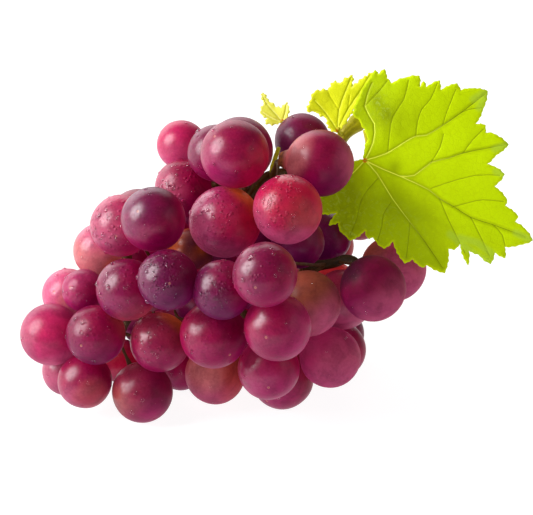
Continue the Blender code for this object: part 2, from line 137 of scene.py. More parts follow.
# Routes in the same view: across, up, depth towards the eye, and the half thickness there.
STALK = [
    (59, 127, -17, 2.2), (54, 120.5, -17, 2.8), (48, 114.5, -17, 2.4), (43, 102.5, -24.5, 2.2),
    (36, 99.5, -27, 2.2), (30, 98, -26, 2.2), (23.5, 100, -20, 2.3), (17, 96.5, -16, 2.4),
    (12, 91, -14, 2.3), (4, 82, -15, 2.2), (-6, 71, -15, 2.0), (-18, 60, -12, 1.8),
    (-32, 49, -8, 1.6), (-45, 41, -7, 1.4), (-53, 37, -8, 1.2),
]
BRANCHES = {
    "shoulder": [
        (6, 84, -15, 1.8), (18, 72, -11, 1.8), (30, 64, -6, 1.9), (36, 63, -4.5, 2.0),
        (44, 64, -0.5, 2.0), (50, 65.8, -5, 1.8), (55, 63.5, -9, 1.5),
    ],
    "neck": [(19, 97.5, -17, 1.6), (20.5, 100, -10, 1.4), (21.5, 102.5, -3, 1.3), (22.2, 104.2, 2.0, 1.5)],
    "tip": [(-32, 49, -8, 1.3), (-38, 41, -12, 1.2), (-40, 36, -16, 1.0)],
}
# How old each branch looks, 0 for green and 1 for brown; above 1 is painted shade, nearly black at 2, for
# branches that lie in shadow.
BRANCH_AGES_AND_SHADE = {"shoulder": 1.8, "neck": 1.0, "tip": 1.4}
# These berries' own stalks are so short that they don't show.
SHORT_STALKS = {"b02", "b03", "b11", "b12", "b14", "b15", "b21", "b23", "b26", "b27", "b44"}
# Twigs beside the stalk where it shows between the berries, each with how old it looks. The last four run
# straight towards the eye and fill gaps between the berries with dark bark: painted shade where the gaps
# show.
TWIGS = [
    ([(21.5, 101.0, -16.0, 1.3), (17.0, 98.6, -12.6, 1.5),
      (13.0, 95.0, -10.6, 1.4), (9.5, 91.0, -10.0, 1.2)], 0.9),
    ([(19.6, 99.5, -14.0, 1.3), (20.4, 103.0, -12.5, 1.2),
      (21.4, 107.0, -12.0, 1.0), (22.6, 110.5, -12.5, 0.7)], 0.0),
    ([(8.6, 94.0, -22.0, 1.5), (8.6, 94.0, -14.0, 2.2),
      (8.8, 94.0, -8.0, 1.8), (8.8, 94.0, -5.0, 0.8)], 1.0),
    ([(8.2, 43.7, -2.0, 1.5), (8.2, 43.7, 6.0, 2.4), (8.2, 43.7, 12.0, 2.0), (8.2, 43.7, 15.0, 0.8)], 1.0),
    ([(-38.2, 66.5, -8.0, 1.5), (-38.2, 66.5, -2.0, 2.0),
      (-38.2, 66.5, 4.0, 1.8), (-38.2, 66.5, 7.0, 0.8)], 1.0),
    ([(-2.8, 95.9, -24.0, 1.6), (-2.8, 95.9, -16.0, 2.4),
      (-2.8, 95.9, -10.0, 2.2), (-2.8, 95.9, -6.0, 0.8)], 1.0),
]
# The berry whose skin draws out into a neck, and where the neck meets its twig.
NECKED = "b11"
NECK_TIP = (23.3, 105.6, 4.6)
# How far the hidden berries stay clear of the stalk.
STALK_CLEARANCE = 0.5

# How thick a leaf is in the solids, and here.
BLADE = 0.9
LEAF_SHEET = 0.42
LARGE_HUB = (57.0, 105.2, -2.0)
LARGE_OUTLINE = [
    (-4.8, 18.4), (-2.2, 25.8), (1.6, 33.0), (4.6, 36.2), (7.9, 36.2), (10.8, 30.9), (16.5, 33.3),
    (21.9, 33.9), (22.0, 29.3), (23.6, 31.8), (24.6, 29.3), (29.9, 32.1), (30.4, 28.2), (37.0, 30.9),
    (38.4, 28.2), (42.7, 28.9), (49.2, 27.9), (47.4, 20.5), (44.4, 14.6), (48.3, 14.3), (48.4, 11.2),
    (51.3, 10.9), (57.6, 6.4), (52.5, 2.0), (48.9, -1.5), (51.9, -2.4), (56.0, -5.6), (51.9, -10.4),
    (57.0, -15.8), (56.2, -18.2), (61.4, -22.3), (60.2, -24.6), (64.4, -27.6), (67.2, -32.1),
    (62.0, -33.9), (56.0, -34.7), (56.2, -39.2), (52.0, -37.0), (50.3, -41.6), (45.4, -37.8),
    (41.6, -36.2), (41.3, -42.2), (38.0, -33.4), (36.0, -35.8), (33.5, -35.4), (32.0, -45.2),
    (24.8, -41.9), (23.0, -42.9), (18.9, -39.5), (16.0, -41.3), (11.2, -32.4), (7.6, -35.4),
    (3.2, -30.9), (1.1, -31.3), (0.0, -28.2), (-5.8, -32.1), (-8.1, -30.0), (-10.2, -28.2),
    (-12.3, -25.9), (-12.2, -21.9), (-16.4, -21.4), (-16.2, -15.2), (-14.5, -11.5), (-10.0, -7.0),
    (-8.0, -2.0), (-4.8, -0.6), (-0.6, 0.4), (-0.4, 3.3), (1.1, 8.6), (-0.1, 12.2), (-2.2, 16.0),
]
# Teeth that the solids leave out: a corner of the outline, and the corners that take its place.
EXTRA_TEETH = {
    (1.6, 33.0): [(1.6, 32.4)],
    (4.6, 36.2): [(4.2, 36.4), (5.4, 34.6)],
    (7.9, 36.2): [(7.9, 36.6), (8.9, 32.8)],
    (-12.3, -25.9): [(-10.6, -25.0), (-12.3, -25.9)],
    (-12.2, -21.9): [(-11.4, -21.0)],
}
LARGE_PETIOLE = [
    (57.2, 104.6, -2.6, 0.9), (58.0, 107.0, -7.0, 1.0), (58.2, 112.0, -11.5, 1.1),
    (57.4, 117.5, -12.2, 1.3),
]
LARGE_VEINS = [
    [(0, 0), (3.2, 6.8), (3.8, 14.6), (0.0, 21.7), (3.0, 31.0)],
    [(0, 0), (8.5, 2.7), (15.6, 7.1), (20.4, 9.7), (24.6, 10.1), (31.1, 14.0), (38.8, 19.3), (48.3, 26.8)],
    [
        (0, 0), (7.3, -3.6), (14.4, -6.5), (25.2, -11.6), (29.9, -15.4),
        (35.8, -18.7), (42.4, -22.9), (51.3, -25.8), (64.4, -30.6),
    ],
    [(0, 0), (5.0, -5.6), (10.9, -15.2), (18.0, -24.7), (23.4, -31.8), (31.1, -43.1)],
    [(0, 0), (-3.6, -3.9), (-9.0, -9.0), (-14.0, -13.0)],
    [(14.4, -6.3), (19.8, -6.0), (26.4, -0.9), (33.5, 0.9), (39.4, 3.0), (49.5, 5.0), (57.2, 6.5)],
]
LARGE_SIDE_VEINS = [
    [(9.1, 3.3), (10.0, 11.7), (11.2, 17.5), (15.6, 24.5), (17.5, 32.0)],
    [(20.4, 9.7), (21.0, 15.3), (22.8, 20.5), (26.4, 24.7), (29.0, 31.0)],
    [(26.4, -11.3), (32.3, -9.2), (44.2, -6.0), (54.0, -6.0)],
    [(35.2, -18.7), (41.2, -17.0), (47.2, -15.8), (55.5, -16.5)],
    [(5.6, -6.8), (0.8, -12.2), (-1.9, -17.0), (-3.1, -22.9), (-6.0, -30.0)],
    [(10.3, -17.0), (7.3, -21.7), (6.7, -26.4), (5.0, -32.0)],
    [(18.0, -24.7), (17.5, -31.0), (16.5, -39.0)],
    [(31.1, 14.0), (33.0, 20.0), (36.5, 28.5)],
    [(38.8, 19.3), (42.0, 20.5), (47.0, 21.0)],
    [(42.4, -22.9), (46.0, -30.0), (50.0, -38.5)],
    [(51.3, -25.8), (55.0, -30.0), (56.5, -37.0)],
    [(29.9, -15.4), (33.5, -24.0), (40.0, -37.0)],
    [(39.4, 3.0), (43.0, 8.0), (47.5, 12.5)],
    [(26.4, -0.9), (30.0, 5.0), (31.5, 10.5)],
    [(0.0, 21.7), (6.0, 28.0), (9.0, 32.0)],
]
# Lines along which the large leaf turns its pale side up.
PALE_FOLDS = [
    [(43.5, 24.5), (48.8, 27.6)], [(52.0, 4.5), (57.2, 6.3)], [(60.5, -29.0), (66.6, -32.0)],
    [(45.8, 21.0), (48.2, 25.5)], [(52.5, -4.5), (55.6, -5.6)],
    [(34.0, -29.5), (40.0, -34.5), (44.5, -38.0), (49.5, -40.5)],
    [(38.0, -31.0), (45.0, -33.0), (51.5, -38.0)],
]

SMALL_HUB = (46.2, 117.2, -9.5)
SMALL_OUTLINE = [
    (0.6, 0.2), (4.4, 5.2), (7.4, 11.0), (10.2, 15.0), (13.9, 23.4), (10.0, 21.0), (5.6, 17.2),
    (5.9, 22.4), (0.8, 19.0), (-1.2, 20.1), (-4.0, 16.4), (-9.2, 15.9), (-10.8, 12.4), (-12.5, 7.9),
    (-8.8, 7.4), (-4.7, 5.0), (-4.2, 2.4), (-3.4, 0.8), (-1.2, -0.7),
]
SMALL_PETIOLE = [(46.4, 118.2, -9.9, 0.8), (46.6, 116.6, -12.0, 0.8), (47.4, 115.9, -13.6, 0.9)]
SMALL_VEINS = [
    [(0, 0), (4.0, 8.0), (9.0, 15.5), (13.0, 22.0)],
    [(0, 0), (0.6, 8.0), (3.0, 15.0), (5.5, 21.0)],
    [(0, 0), (-4.6, 7.0), (-9.0, 12.0)],
]
SMALL_SIDE_VEINS = [
    [(0.6, 8.0), (-3.0, 13.5), (-4.0, 16.0)],
    [(-4.6, 7.0), (-11.0, 8.3)],
    [(4.0, 8.0), (4.8, 14.0)],
]

YOUNG_HUB = (24.0, 121.0, -31.0)
YOUNG_OUTLINE = [
    (0.5, 0.0), (2.0, 1.5), (2.7, 5.9), (1.7, 7.8), (-0.4, 5.6), (-2.6, 5.8), (-5.4, 8.2),
    (-7.6, 11.6), (-8.6, 11.2), (-7.4, 7.2), (-8.8, 5.4), (-8.2, 2.5), (-6.2, 1.3), (-7.0, -0.9),
    (-2.0, -1.2), (-0.5, -0.4),
]
YOUNG_PETIOLE = [
    (23.8, 121.4, -31.4, 0.7), (24.6, 117.0, -36.0, 0.7), (25.2, 110.0, -38.0, 0.8),
    (26.6, 103.5, -33.5, 0.8), (27.2, 101.2, -30.2, 0.9),
]
YOUNG_VEINS = [
    [(0, 0), (-3.0, 3.5), (-6.0, 7.0), (-8.0, 11.0)],
    [(0, 0), (1.2, 3.0), (1.9, 7.0)],
    [(0, 0), (-4.0, 1.2), (-8.2, 3.8)],
]


def srgb(red: int, green: int, blue: int) -> tuple[float, float, float]:
    """The linear colour of three display values of 0 to 255.

    Args:
        red: the display's red.
        green: its green.
        blue: its blue.

    Returns:
        The three linear values.
    """
    shown = (red / 255, green / 255, blue / 255)
    return tuple(v / 12.92 if v <= 0.04045 else ((v + 0.055) / 1.055) ** 2.4 for v in shown)


def smooth(low: float, high: float, value: float) -> float:
    """An eased step from 0 at low to 1 at high."""
    share = min(max((value - low) / (high - low), 0.0), 1.0)
    return share * share * (3 - 2 * share)


def place(across: float, up: float, depth: float) -> Vector:
    """The point of the bunch, in millimetres, that lies there in the measured view."""
    return RIGHT * across + UP * up + NEAR * depth


def seen(point: Vector) -> Vector:
    """Across, up and depth of a point of the bunch, in millimetres."""
    return Vector((point.dot(RIGHT), point.dot(UP), point.dot(NEAR)))


def toward(side: tuple[float, float, float]) -> Vector:
    """The unit vector of a side given as across, up, near."""
    return place(*side).normalized()


def hump(apart: float, half: float) -> float:
    """A smooth bump of height 1 at no distance, which falls away over a half width."""
    return math.exp(-((apart / half) ** 2))


def ripple(across: float, up: float, fine: tuple[float, float], layer: float) -> float:
    """Smooth noise from -1 to 1 over a leaf.

    Args:
        across: how far right of the hub the point is.
        up: how far above the hub it is.
        fine: how fine the noise is across and up.
        layer: which of its layers.

    Returns:
        Its value there.
    """
    return noise.noise(Vector((across * fine[0], up * fine[1], layer)))


def curve_value(p: float, q: float, r: float, s: float, t: float) -> float:
    """A value on the smooth curve from q to r whose neighbours are p and s.

    Args:
        p: the number before the span.
        q: the number at its start.
        r: the number at its end.
        s: the number after it.
        t: 0 at the start to 1 at the end.

    Returns:
        The number there.
    """
    square = (2 * p - 5 * q + 4 * r - s) * t**2
    cube = (3 * q - p - 3 * r + s) * t**3
    return 0.5 * (2 * q + (r - p) * t + square + cube)


def smooth_line(points: Sequence[Sequence[float]], steps: int = 2) -> list[tuple[float, ...]]:
    """The points of a flat line with others between them, on a smooth curve through them all.

    Args:
        points: the points to pass through.
        steps: how many spans each pair of them gets.

    Returns:
        The points of the curve.
    """
    ends = [points[0], *points, points[-1]]
    made = []
    for corners in zip(ends, ends[1:], ends[2:], ends[3:]):
        for step in range(steps):
            made.append(tuple(curve_value(*values, step / steps) for values in zip(*corners)))
    return [*made, tuple(points[-1])]


def smooth_route(points: Sequence[Sequence[float]], steps: int = 3) -> list[tuple[Vector, float]]:
    """Points and half thicknesses along a smooth curve through a route's own points.

    Args:
        points: across, up, depth and half thickness rows.
        steps: rows made between two of them.

    Returns:
        The rows, each a point in millimetres and a half thickness.
    """
    return [(place(*row[:3]), row[3]) for row in smooth_line(points, steps)]


# The way from a berry to the side where the light strikes it and most of the water lies.
LIT_SIDE = toward((-0.55, 0.28, 0.8))


class Ripeness(Enum):
    """How a skin is coloured: its linear colour and how much bloom dulls it."""

    PLUM = (srgb(70, 2, 36), 0.80)
    WINE = (srgb(92, 2, 36), 0.65)
    CLARET = (srgb(116, 1, 40), 0.50)
    RUSSET = (srgb(112, 24, 40), 0.55)
    CRIMSON = (srgb(160, 22, 66), 0.45)
    CHERRY = (srgb(152, 10, 34), 0.40)
    AMBER = (srgb(142, 50, 42), 0.35)
    MAUVE = (srgb(134, 30, 68), 0.55)
    DUSK = (srgb(144, 60, 80), 0.50)
    ROSE = (srgb(176, 74, 104), 0.40)
    PEACH = (srgb(168, 92, 86), 0.40)
    OLIVE = (srgb(116, 56, 34), 0.30)
    EMBER = (srgb(186, 46, 36), 0.30)
    HONEY = (srgb(178, 82, 20), 0.10)
    # Painted shade: a near-black skin laid on the sides of berries that lie in shadow.
    SHADOW = (srgb(30, 4, 14), 0.10)


# Each berry's skin, the second one that it passes into, and the side where it does: across, up, near.
# After them come smaller patches, each a skin and its side. Many sides paint light: the paler rose, dusk,
# mauve and peach that lie towards a berry's underside, its left or its right are painted reflection and
# painted highlight, and SHADOW is painted shade; the main skins and the amber, honey and olive patches are
# the berries' own colour.
SKINS = {
    "b01": (Ripeness.CRIMSON, Ripeness.ROSE, (0, -1, 0.2)),
    "b02": (Ripeness.CLARET, Ripeness.CHERRY, (0.6, -0.8, 0.3), Ripeness.MAUVE, (-0.6, -0.5, 0.6)),
    "b03": (Ripeness.WINE, Ripeness.CLARET, (0.8, 0, 0.4)),
    "b04": (Ripeness.WINE, Ripeness.CLARET, (0, -1, 0.2)),
    "b05": (Ripeness.CLARET, Ripeness.DUSK, (-0.9, -0.2, 0.2)),
    "b06": (Ripeness.CLARET, Ripeness.PLUM, (-0.5, 0.7, 0.5)),
    "b07": (
        Ripeness.MAUVE, Ripeness.CHERRY, (0.7, 0.0, 0.5), Ripeness.HONEY, (0.76, 0.80, 0.05),
        Ripeness.ROSE, (-0.85, -0.3, 0.4), Ripeness.DUSK, (0.0, -0.95, 0.3),
    ),
    "b08": (
        Ripeness.CRIMSON, Ripeness.CHERRY, (0.2, 0.3, 0.9), Ripeness.AMBER, (0.42, -0.42, 0.80),
        Ripeness.DUSK, (-0.9, -0.4, 0.1), Ripeness.ROSE, (0.0, -0.95, 0.2),
    ),
    "b09": (Ripeness.CLARET, Ripeness.WINE, (-0.5, 0.5, 0.6)),
    "b10": (Ripeness.PLUM, Ripeness.WINE, (0.5, 0.5, 0.3)),
    "b11": (
        Ripeness.CLARET, Ripeness.WINE, (0.3, -0.9, 0.1), Ripeness.PEACH, (-0.80, 0.25, 0.5),
        Ripeness.DUSK, (0.95, 0.1, 0.2),
    ),
    "b12": (Ripeness.PLUM, Ripeness.WINE, (1, 0, 0)),
    # b13's upper left carries painted shade.
    "b13": (Ripeness.WINE, Ripeness.DUSK, (0.6, -0.8, 0.2), Ripeness.SHADOW, (-0.7, 0.7, 0.3)),
    "b14": (Ripeness.MAUVE, Ripeness.DUSK, (0.5, -0.3, 0.8), Ripeness.OLIVE, (-0.7, 0.6, 0.4)),
    "b15": (Ripeness.OLIVE, Ripeness.DUSK, (0.7, -0.7, 0.2)),
    "b16": (Ripeness.CLARET, Ripeness.MAUVE, (0.9, -0.2, 0.1)),
    "b17": (Ripeness.CLARET, Ripeness.WINE, (0.8, 0.5, 0.2)),
    "b18": (Ripeness.PLUM, Ripeness.CLARET, (0.8, 0.3, 0.4)),
    "b19": (Ripeness.CLARET, Ripeness.MAUVE, (0.1, -0.9, 0.2)),
    "b20": (Ripeness.RUSSET, Ripeness.MAUVE, (-0.6, -0.2, 0.7)),
    "b21": (Ripeness.MAUVE, Ripeness.DUSK, (0.6, -0.5, 0.6)),
    "b22": (Ripeness.CLARET, Ripeness.WINE, (0, 1, 0)),
    "b23": (Ripeness.RUSSET, Ripeness.DUSK, (0.7, -0.5, 0.4)),
    "b24": (
        Ripeness.AMBER, Ripeness.DUSK, (-0.6, -0.75, 0.1), Ripeness.OLIVE, (0.6, 0.75, 0.1),
        Ripeness.PEACH, (-0.4, 0.1, 0.9),
    ),
    "b25": (Ripeness.WINE, Ripeness.CLARET, (0, 0, 1)),
    "b26": (Ripeness.CHERRY, Ripeness.EMBER, (0, 1, 0)),
    "b27": (Ripeness.AMBER, Ripeness.RUSSET, (0, -1, 0)),
    "b28": (Ripeness.PLUM, Ripeness.WINE, (0.8, 0.4, 0.3)),
    "b29": (
        Ripeness.MAUVE, Ripeness.CRIMSON, (0.1, -0.2, 0.9), Ripeness.ROSE, (0.3, -0.95, 0.1),
        Ripeness.DUSK, (-0.95, 0.0, 0.3),
    ),
    "b30": (Ripeness.WINE, Ripeness.CLARET, (0.6, 0.3, 0.7), Ripeness.AMBER, (0.9, 0.45, 0.0)),
    "b31": (Ripeness.MAUVE, Ripeness.CLARET, (0.4, -0.6, 0.6)),
    "b32": (Ripeness.CRIMSON, Ripeness.ROSE, (-0.4, 0.3, 0.8), Ripeness.PEACH, (0.3, -0.1, 0.95)),
    "b33": (Ripeness.WINE, Ripeness.CLARET, (0.8, -0.1, 0.5), Ripeness.AMBER, (0.35, -0.93, 0.1)),
    "b34": (Ripeness.PLUM, Ripeness.WINE, (0.8, 0.6, 0.2)),
    "b35": (Ripeness.PEACH, Ripeness.ROSE, (0.2, 0.8, 0.4), Ripeness.HONEY, (0.6, -0.7, 0.3)),
    "b36": (Ripeness.RUSSET, Ripeness.CLARET, (-0.3, -0.8, 0.4), Ripeness.HONEY, (0.75, 0.7, 0.1)),
    "b37": (Ripeness.CLARET, Ripeness.DUSK, (0.0, -0.95, 0.2), Ripeness.AMBER, (0.25, -0.66, 0.68)),
    "b38": (Ripeness.DUSK, Ripeness.ROSE, (1, 0, 0.2)),
    "b39": (
        Ripeness.RUSSET, Ripeness.WINE, (0.9, 0.2, 0.3), Ripeness.OLIVE, (-0.7, -0.5, 0.4),
        Ripeness.MAUVE, (0.1, -0.95, 0.2),
    ),
    "b40": (Ripeness.CRIMSON, Ripeness.DUSK, (-0.8, 0.0, 0.4)),
    # b41 lies deep in shadow: painted shade covers most of its honey skin.
    "b41": (
        Ripeness.HONEY, Ripeness.SHADOW, (0.95, 0.3, 0.0), Ripeness.SHADOW, (0.28, -0.36, 0.89),
        Ripeness.SHADOW, (0.1, 0.75, 0.66),
    ),
    "b42": (Ripeness.WINE, Ripeness.CHERRY, (0, 0, 1)),
    "b43": (Ripeness.PLUM, Ripeness.RUSSET, (-1, 0, 0)),
    "b44": (Ripeness.PEACH, Ripeness.AMBER, (0, 1, 0)),
}
# The lilac that every skin turns towards on its underside: painted reflection of the pale floor.
UNDERSIDE_REFLECTION = srgb(112, 10, 104)
UNDERSIDE_REFLECTION_SHARE = 0.15
# The skins that the berries out of sight are drawn from.
UNSEEN_SKINS = [
    Ripeness.PLUM, Ripeness.WINE, Ripeness.WINE, Ripeness.CLARET, Ripeness.CLARET, Ripeness.CHERRY,
    Ripeness.RUSSET, Ripeness.AMBER,
]

# How many drops of water lie on a berry.
WET = {
    "b02": 6, "b04": 10, "b05": 46, "b06": 10, "b07": 58, "b08": 52, "b09": 36, "b10": 12, "b11": 6,
    "b13": 10, "b16": 10, "b17": 24, "b18": 90, "b30": 22, "b31": 16, "b32": 12, "b33": 34, "b34": 80,
    "b35": 12, "b36": 40, "b37": 12, "b39": 14, "b40": 52,
}
UNSEEN_WET = 6
WETTEST = 60

# The gloss of the lit side of a berry, as a share of what the others have. It also scales the painted
# highlight of paler bloom on that side.
GLOSS = {
    "b02": 1.1, "b05": 0.8, "b06": 1.3, "b07": 1.35, "b09": 1.25, "b10": 0.6, "b11": 0.7, "b13": 0.05,
    "b14": 0.2, "b15": 0.2, "b16": 1.2, "b18": 0.95, "b19": 1.5, "b21": 0.1, "b24": 0.35, "b29": 0.8,
    "b30": 0.8, "b31": 0.8, "b33": 1.1, "b39": 0.8,
}


@dataclass(frozen=True)
class Berry:
    """One berry: its place and size in millimetres, and the way from its stalk end to its flower end."""

    name: str
    centre: Vector
    radius: float
    axis: Vector
    shown: bool


@dataclass
class Packing:
    """Where every berry and the stalk lie, by the same rule as the solids. Lengths are in millimetres."""

    berries: list[Berry] = field(default_factory=list)
    stalk: list[tuple[Vector, float]] = field(default_factory=list)
    twigs: list[tuple[Vector, float]] = field(default_factory=list)
    # Measured berries: turns of easing, how many of them pull towards the wanted depth, and how hard.
    near_turns: int = 2500
    near_pulled: int = 1500
    near_pull: float = 0.03
    # A berry that would rest deeper than this doesn't lie on the surface.
    deepest_rest: float = -25.0
    no_limit: float = 99.0
    # Hidden berries: turns of easing, how many of them pull towards the heart, and how hard.
    far_turns: int = 260
    far_pulled: int = 180
    far_pull: float = 0.012
    apart_share: float = 0.6
    aside_share: float = 0.3
    jitter: float = 2.5
    layers: tuple[int, int] = (-5, 3)
    rows: tuple[int, int] = (-4, 5)
    columns: tuple[int, int] = (-5, 6)
    set_back: float = 6.0
    least_bulge: float = 0.1
    least_height: float = 0.4
    first_overlap: float = 0.7
    last_overlap: float = 1.6
    twig_room: float = 0.4
    # How a hidden berry is kept behind the measured ones.
    rim_spots: int = 12
    rim_inside: float = 1.0
    longest_shift: float = 3.0
    before: float = 2.0
    before_reach: float = 17.0

    @staticmethod
    def middle(up: float) -> float:
        """Depth of the bunch's middle plane, which leans back."""
        return MIDDLE_AT_FOOT + MIDDLE_LEAN * (up - FOOT_UP)

    @staticmethod
    def bulge(across: float, up: float) -> float:
        """How far the bunch stands out of its middle plane there, from 0 at its outline to 1.

        Args:
            across: how far right the point is.
            up: how far up the view it is.

        Returns:
            The share.
        """
        inner = 1 - sum(
            ((value - centre) / half) ** 2
            for value, centre, half in zip((across, up), OUTLINE_CENTRE, OUTLINE_HALF)
        )
        return math.sqrt(max(0.0, inner))

    @staticmethod
    def resting_depth(up: float, radius: float) -> float:
        """The depth at which a berry of that height in the view lies on the surface."""
        height = FLOOR + radius - SQUASH
        return (height - up * math.cos(EYE_ELEVATION)) / math.sin(EYE_ELEVATION)

    @staticmethod
    def depth_between(one: str, other: str) -> float | None:
        """How much nearer one berry of the table lies than another that it hides in part.

        Args:
            one: the berry in front.
            other: the berry behind it.

        Returns:
            The step in depth, or None where the two are too far apart to touch.
        """
        apart = math.dist(BERRIES[one][:2], BERRIES[other][:2])
        reach = (BERRIES[one][2] + BERRIES[other][2]) / 2 - PRESS
        return math.sqrt(reach**2 - apart**2) if apart < reach else None

    def near_side(self) -> dict[str, tuple[Vector, float]]:
        """Centre and radius of each measured berry.

        Returns:
            The two by name, with depths that hide each berry's neighbours as they were seen.
        """
        wanted, least = {}, {}
        for name, (across, up, diameter, _) in BERRIES.items():
            rest = self.resting_depth(up, diameter / 2)
            least[name] = max(rest, DEPTH_AT_LEAST.get(name, rest))
            bulging = self.middle(up) + NEAR_BULGE * self.bulge(across, up)
            wanted[name] = rest if rest > self.deepest_rest else bulging
        steps = [
            (name, other, self.depth_between(name, other))
            for name, row in BERRIES.items()
            for other in row[3].split()
            if self.depth_between(name, other) is not None
        ]
        depth = dict(wanted)
        for turn in range(self.near_turns):
            pull = self.near_pull if turn < self.near_pulled else 0.0
            for name in depth:
                depth[name] += pull * (wanted[name] - depth[name])
            for front, back, step in steps:
                short = step - (depth[front] - depth[back])
                if short > 0:
                    depth[front] += short / 2
                    depth[back] -= short / 2
            for name in depth:
                depth[name] = min(max(depth[name], least[name]), DEPTH_AT_MOST.get(name, self.no_limit))
        return {
            name: (place(across, up, depth[name]), diameter / 2)
            for name, (across, up, diameter, _) in BERRIES.items()
        }

    def stay_inside(self, point: Vector, radius: float, shown: Sequence[tuple]) -> Vector:
        """How far to move a hidden berry, so that its rim is back behind the berries that were seen.

        Args:
            point: its centre.
            radius: its radius.
            shown: centre, across and up, and radius of each berry that was seen.

        Returns:
            The shift across and up.
        """
        across, up, _ = seen(point)
        shift = Vector((0, 0))
        for step in range(self.rim_spots):
            angle = math.tau * step / self.rim_spots
            rim = (across + radius * math.cos(angle), up + radius * math.sin(angle))
            outside = min(math.dist(rim, centre) - reach for centre, reach in shown) - self.rim_inside
            if outside > 0:
                shift -= Vector((math.cos(angle), math.sin(angle))) * min(outside, self.longest_shift)
        return shift

    def in_front(self, point: Vector, other: Vector) -> bool:
        """Whether a hidden berry would stand before a measured one in the measured view."""
        apart = seen(point) - seen(other)
        return apart.z > self.before and math.hypot(apart.x, apart.y) < self.before_reach

    @staticmethod
    def nearest_on(rows: Sequence[tuple[Vector, float]], point: Vector) -> tuple[Vector, float]:
        """The row of a route that is nearest to a point."""
        return min(rows, key=lambda row: (row[0] - point).length)

    def crowded(self, point: Vector, radius: float, fixed: Sequence[tuple[Vector, float]]) -> bool:
        """Whether a hidden berry would sit deep in a measured one, or before it.

        Args:
            point: its centre.
            radius: its radius.
            fixed: centre and radius of each measured berry.

        Returns:
            True where it would.
        """
        return any(
            (point - other).length < self.first_overlap * (radius + reach) or self.in_front(point, other)
            for other, reach in fixed
        )

    def first_guess(self, fixed: Sequence[tuple[Vector, float]]) -> list[list]:
        """A jittered close packing of the space behind the measured berries.

        Args:
            fixed: centre and radius of each measured berry.

        Returns:
            Centre and radius of each berry of the packing.
        """
        rng = random.Random(SEED)
        loose = []
        row_step, layer_step = HIDDEN_SPACING * math.sqrt(3) / 2, HIDDEN_SPACING * math.sqrt(2 / 3)
        for layer, row, column in product(range(*self.layers), range(*self.rows), range(*self.columns)):
            offset = 0.5 * (row % 2) + 0.5 * (layer % 2)
            across = OUTLINE_CENTRE[0] + HIDDEN_SPACING * (column + offset)
            up = OUTLINE_CENTRE[1] + row_step * (row + (layer % 2) / 3)
            depth = self.middle(up) - self.set_back + layer_step * layer
            radius = rng.uniform(*HIDDEN_DIAMETERS) / 2
            shaken = Vector([rng.uniform(-self.jitter, self.jitter) for _ in range(3)])
            point = place(across, up, depth) + shaken
            bulge = self.bulge(across, up)
            within = bulge >= self.least_bulge and depth >= self.middle(up) - FAR_BULGE * bulge
            above = point.z >= FLOOR + self.least_height * radius
            if within and above and not self.crowded(point, radius, fixed):
                loose.append([point, radius])
        return loose

    def far_side(self, fixed: list[tuple[Vector, float]], rows: list[tuple[Vector, float]]) -> list[tuple]:
        """The berries out of sight, eased apart and together.

        Args:
            fixed: centre and radius of each measured berry.
            rows: the stalk and its branches, which the berries stay clear of.

        Returns:
            Centre and radius of each berry that found room.
        """
        shown = [(tuple(seen(point)[:2]), radius) for point, radius in fixed]
        loose = self.first_guess(fixed)
        heart = place(OUTLINE_CENTRE[0], OUTLINE_CENTRE[1], self.middle(OUTLINE_CENTRE[1]))
        for turn in range(self.far_turns):
            pull = self.far_pull if turn < self.far_pulled else 0.0
            for index, (point, radius) in enumerate(loose):
                point = point + (heart - point) * pull
                for other, reach in fixed + loose[:index] + loose[index + 1 :]:
                    gap = point - other
                    short = radius + reach - PRESS - gap.length
                    if short > 0:
                        point = point + gap.normalized() * short * self.apart_share
                twig, half = self.nearest_on(rows, point)
                short = radius + half + STALK_CLEARANCE + self.twig_room - (point - twig).length
                if short > 0:
                    point = point + (point - twig).normalized() * short
                shift = self.stay_inside(point, radius, shown)
                point = point + (RIGHT * shift.x + UP * shift.y) * self.aside_share
                point.z = max(point.z, FLOOR + radius - SQUASH)
                loose[index][0] = point
        kept = []
        for point, radius in loose:
            least = radius - self.last_overlap
            if all((point - other).length > least + reach for other, reach in fixed + kept):
                kept.append((point, radius))
        return kept

    def axis_of(self, name: str, centre: Vector, radius: float) -> Vector:
        """The way from a berry's stalk end to its flower end.

        Args:
            name: the berry.
            centre: its centre.
            radius: its radius.

        Returns:
            A unit vector.
        """
        if name == NECKED:
            return (centre - place(*NECK_TIP)).normalized()
        if name in FLOWER_ENDS:
            across, up = FLOWER_ENDS[name]
            return (RIGHT * across + UP * up + NEAR * math.sqrt(radius**2 - across**2 - up**2)).normalized()
        return (centre - self.nearest_on(self.stalk, centre)[0]).normalized()

    def build(self) -> "Packing":
        """Fills the lists.

        Returns:
            This object.
        """
        self.stalk = smooth_route(STALK)
        self.twigs = [row for route in BRANCHES.values() for row in smooth_route(route)]
        near = self.near_side()
        hidden = self.far_side(list(near.values()), self.stalk + self.twigs)
        named = [(name, *spot, True) for name, spot in near.items()]
        named += [(f"h{number:02d}", *spot, False) for number, spot in enumerate(hidden)]
        self.berries = [
            Berry(name, centre, radius, self.axis_of(name, centre, radius), shown)
            for name, centre, radius, shown in named
        ]
        return self


def add_part(shape: bmesh.types.BMesh, part: bmesh.types.BMesh) -> None:
    """Adds a small bmesh, with its layers, to a large one, and frees it.

    Args:
        shape: the large one.
        part: the small one.
    """
    mesh = bpy.data.meshes.new("part")
    part.to_mesh(mesh)
    part.free()
    shape.from_mesh(mesh)
    bpy.data.meshes.remove(mesh)


def empty_shape(numbers: Sequence[str] = (), colours: Sequence[str] = ()) -> bmesh.types.BMesh:
    """A bmesh with these number and colour layers on its vertices.

    Args:
        numbers: the names of its number layers.
        colours: the names of its colour layers.

    Returns:
        The bmesh.
    """
    shape = bmesh.new()
    for name in numbers:
        shape.verts.layers.float.new(name)
    for name in colours:
        shape.verts.layers.float_color.new(name)
    return shape


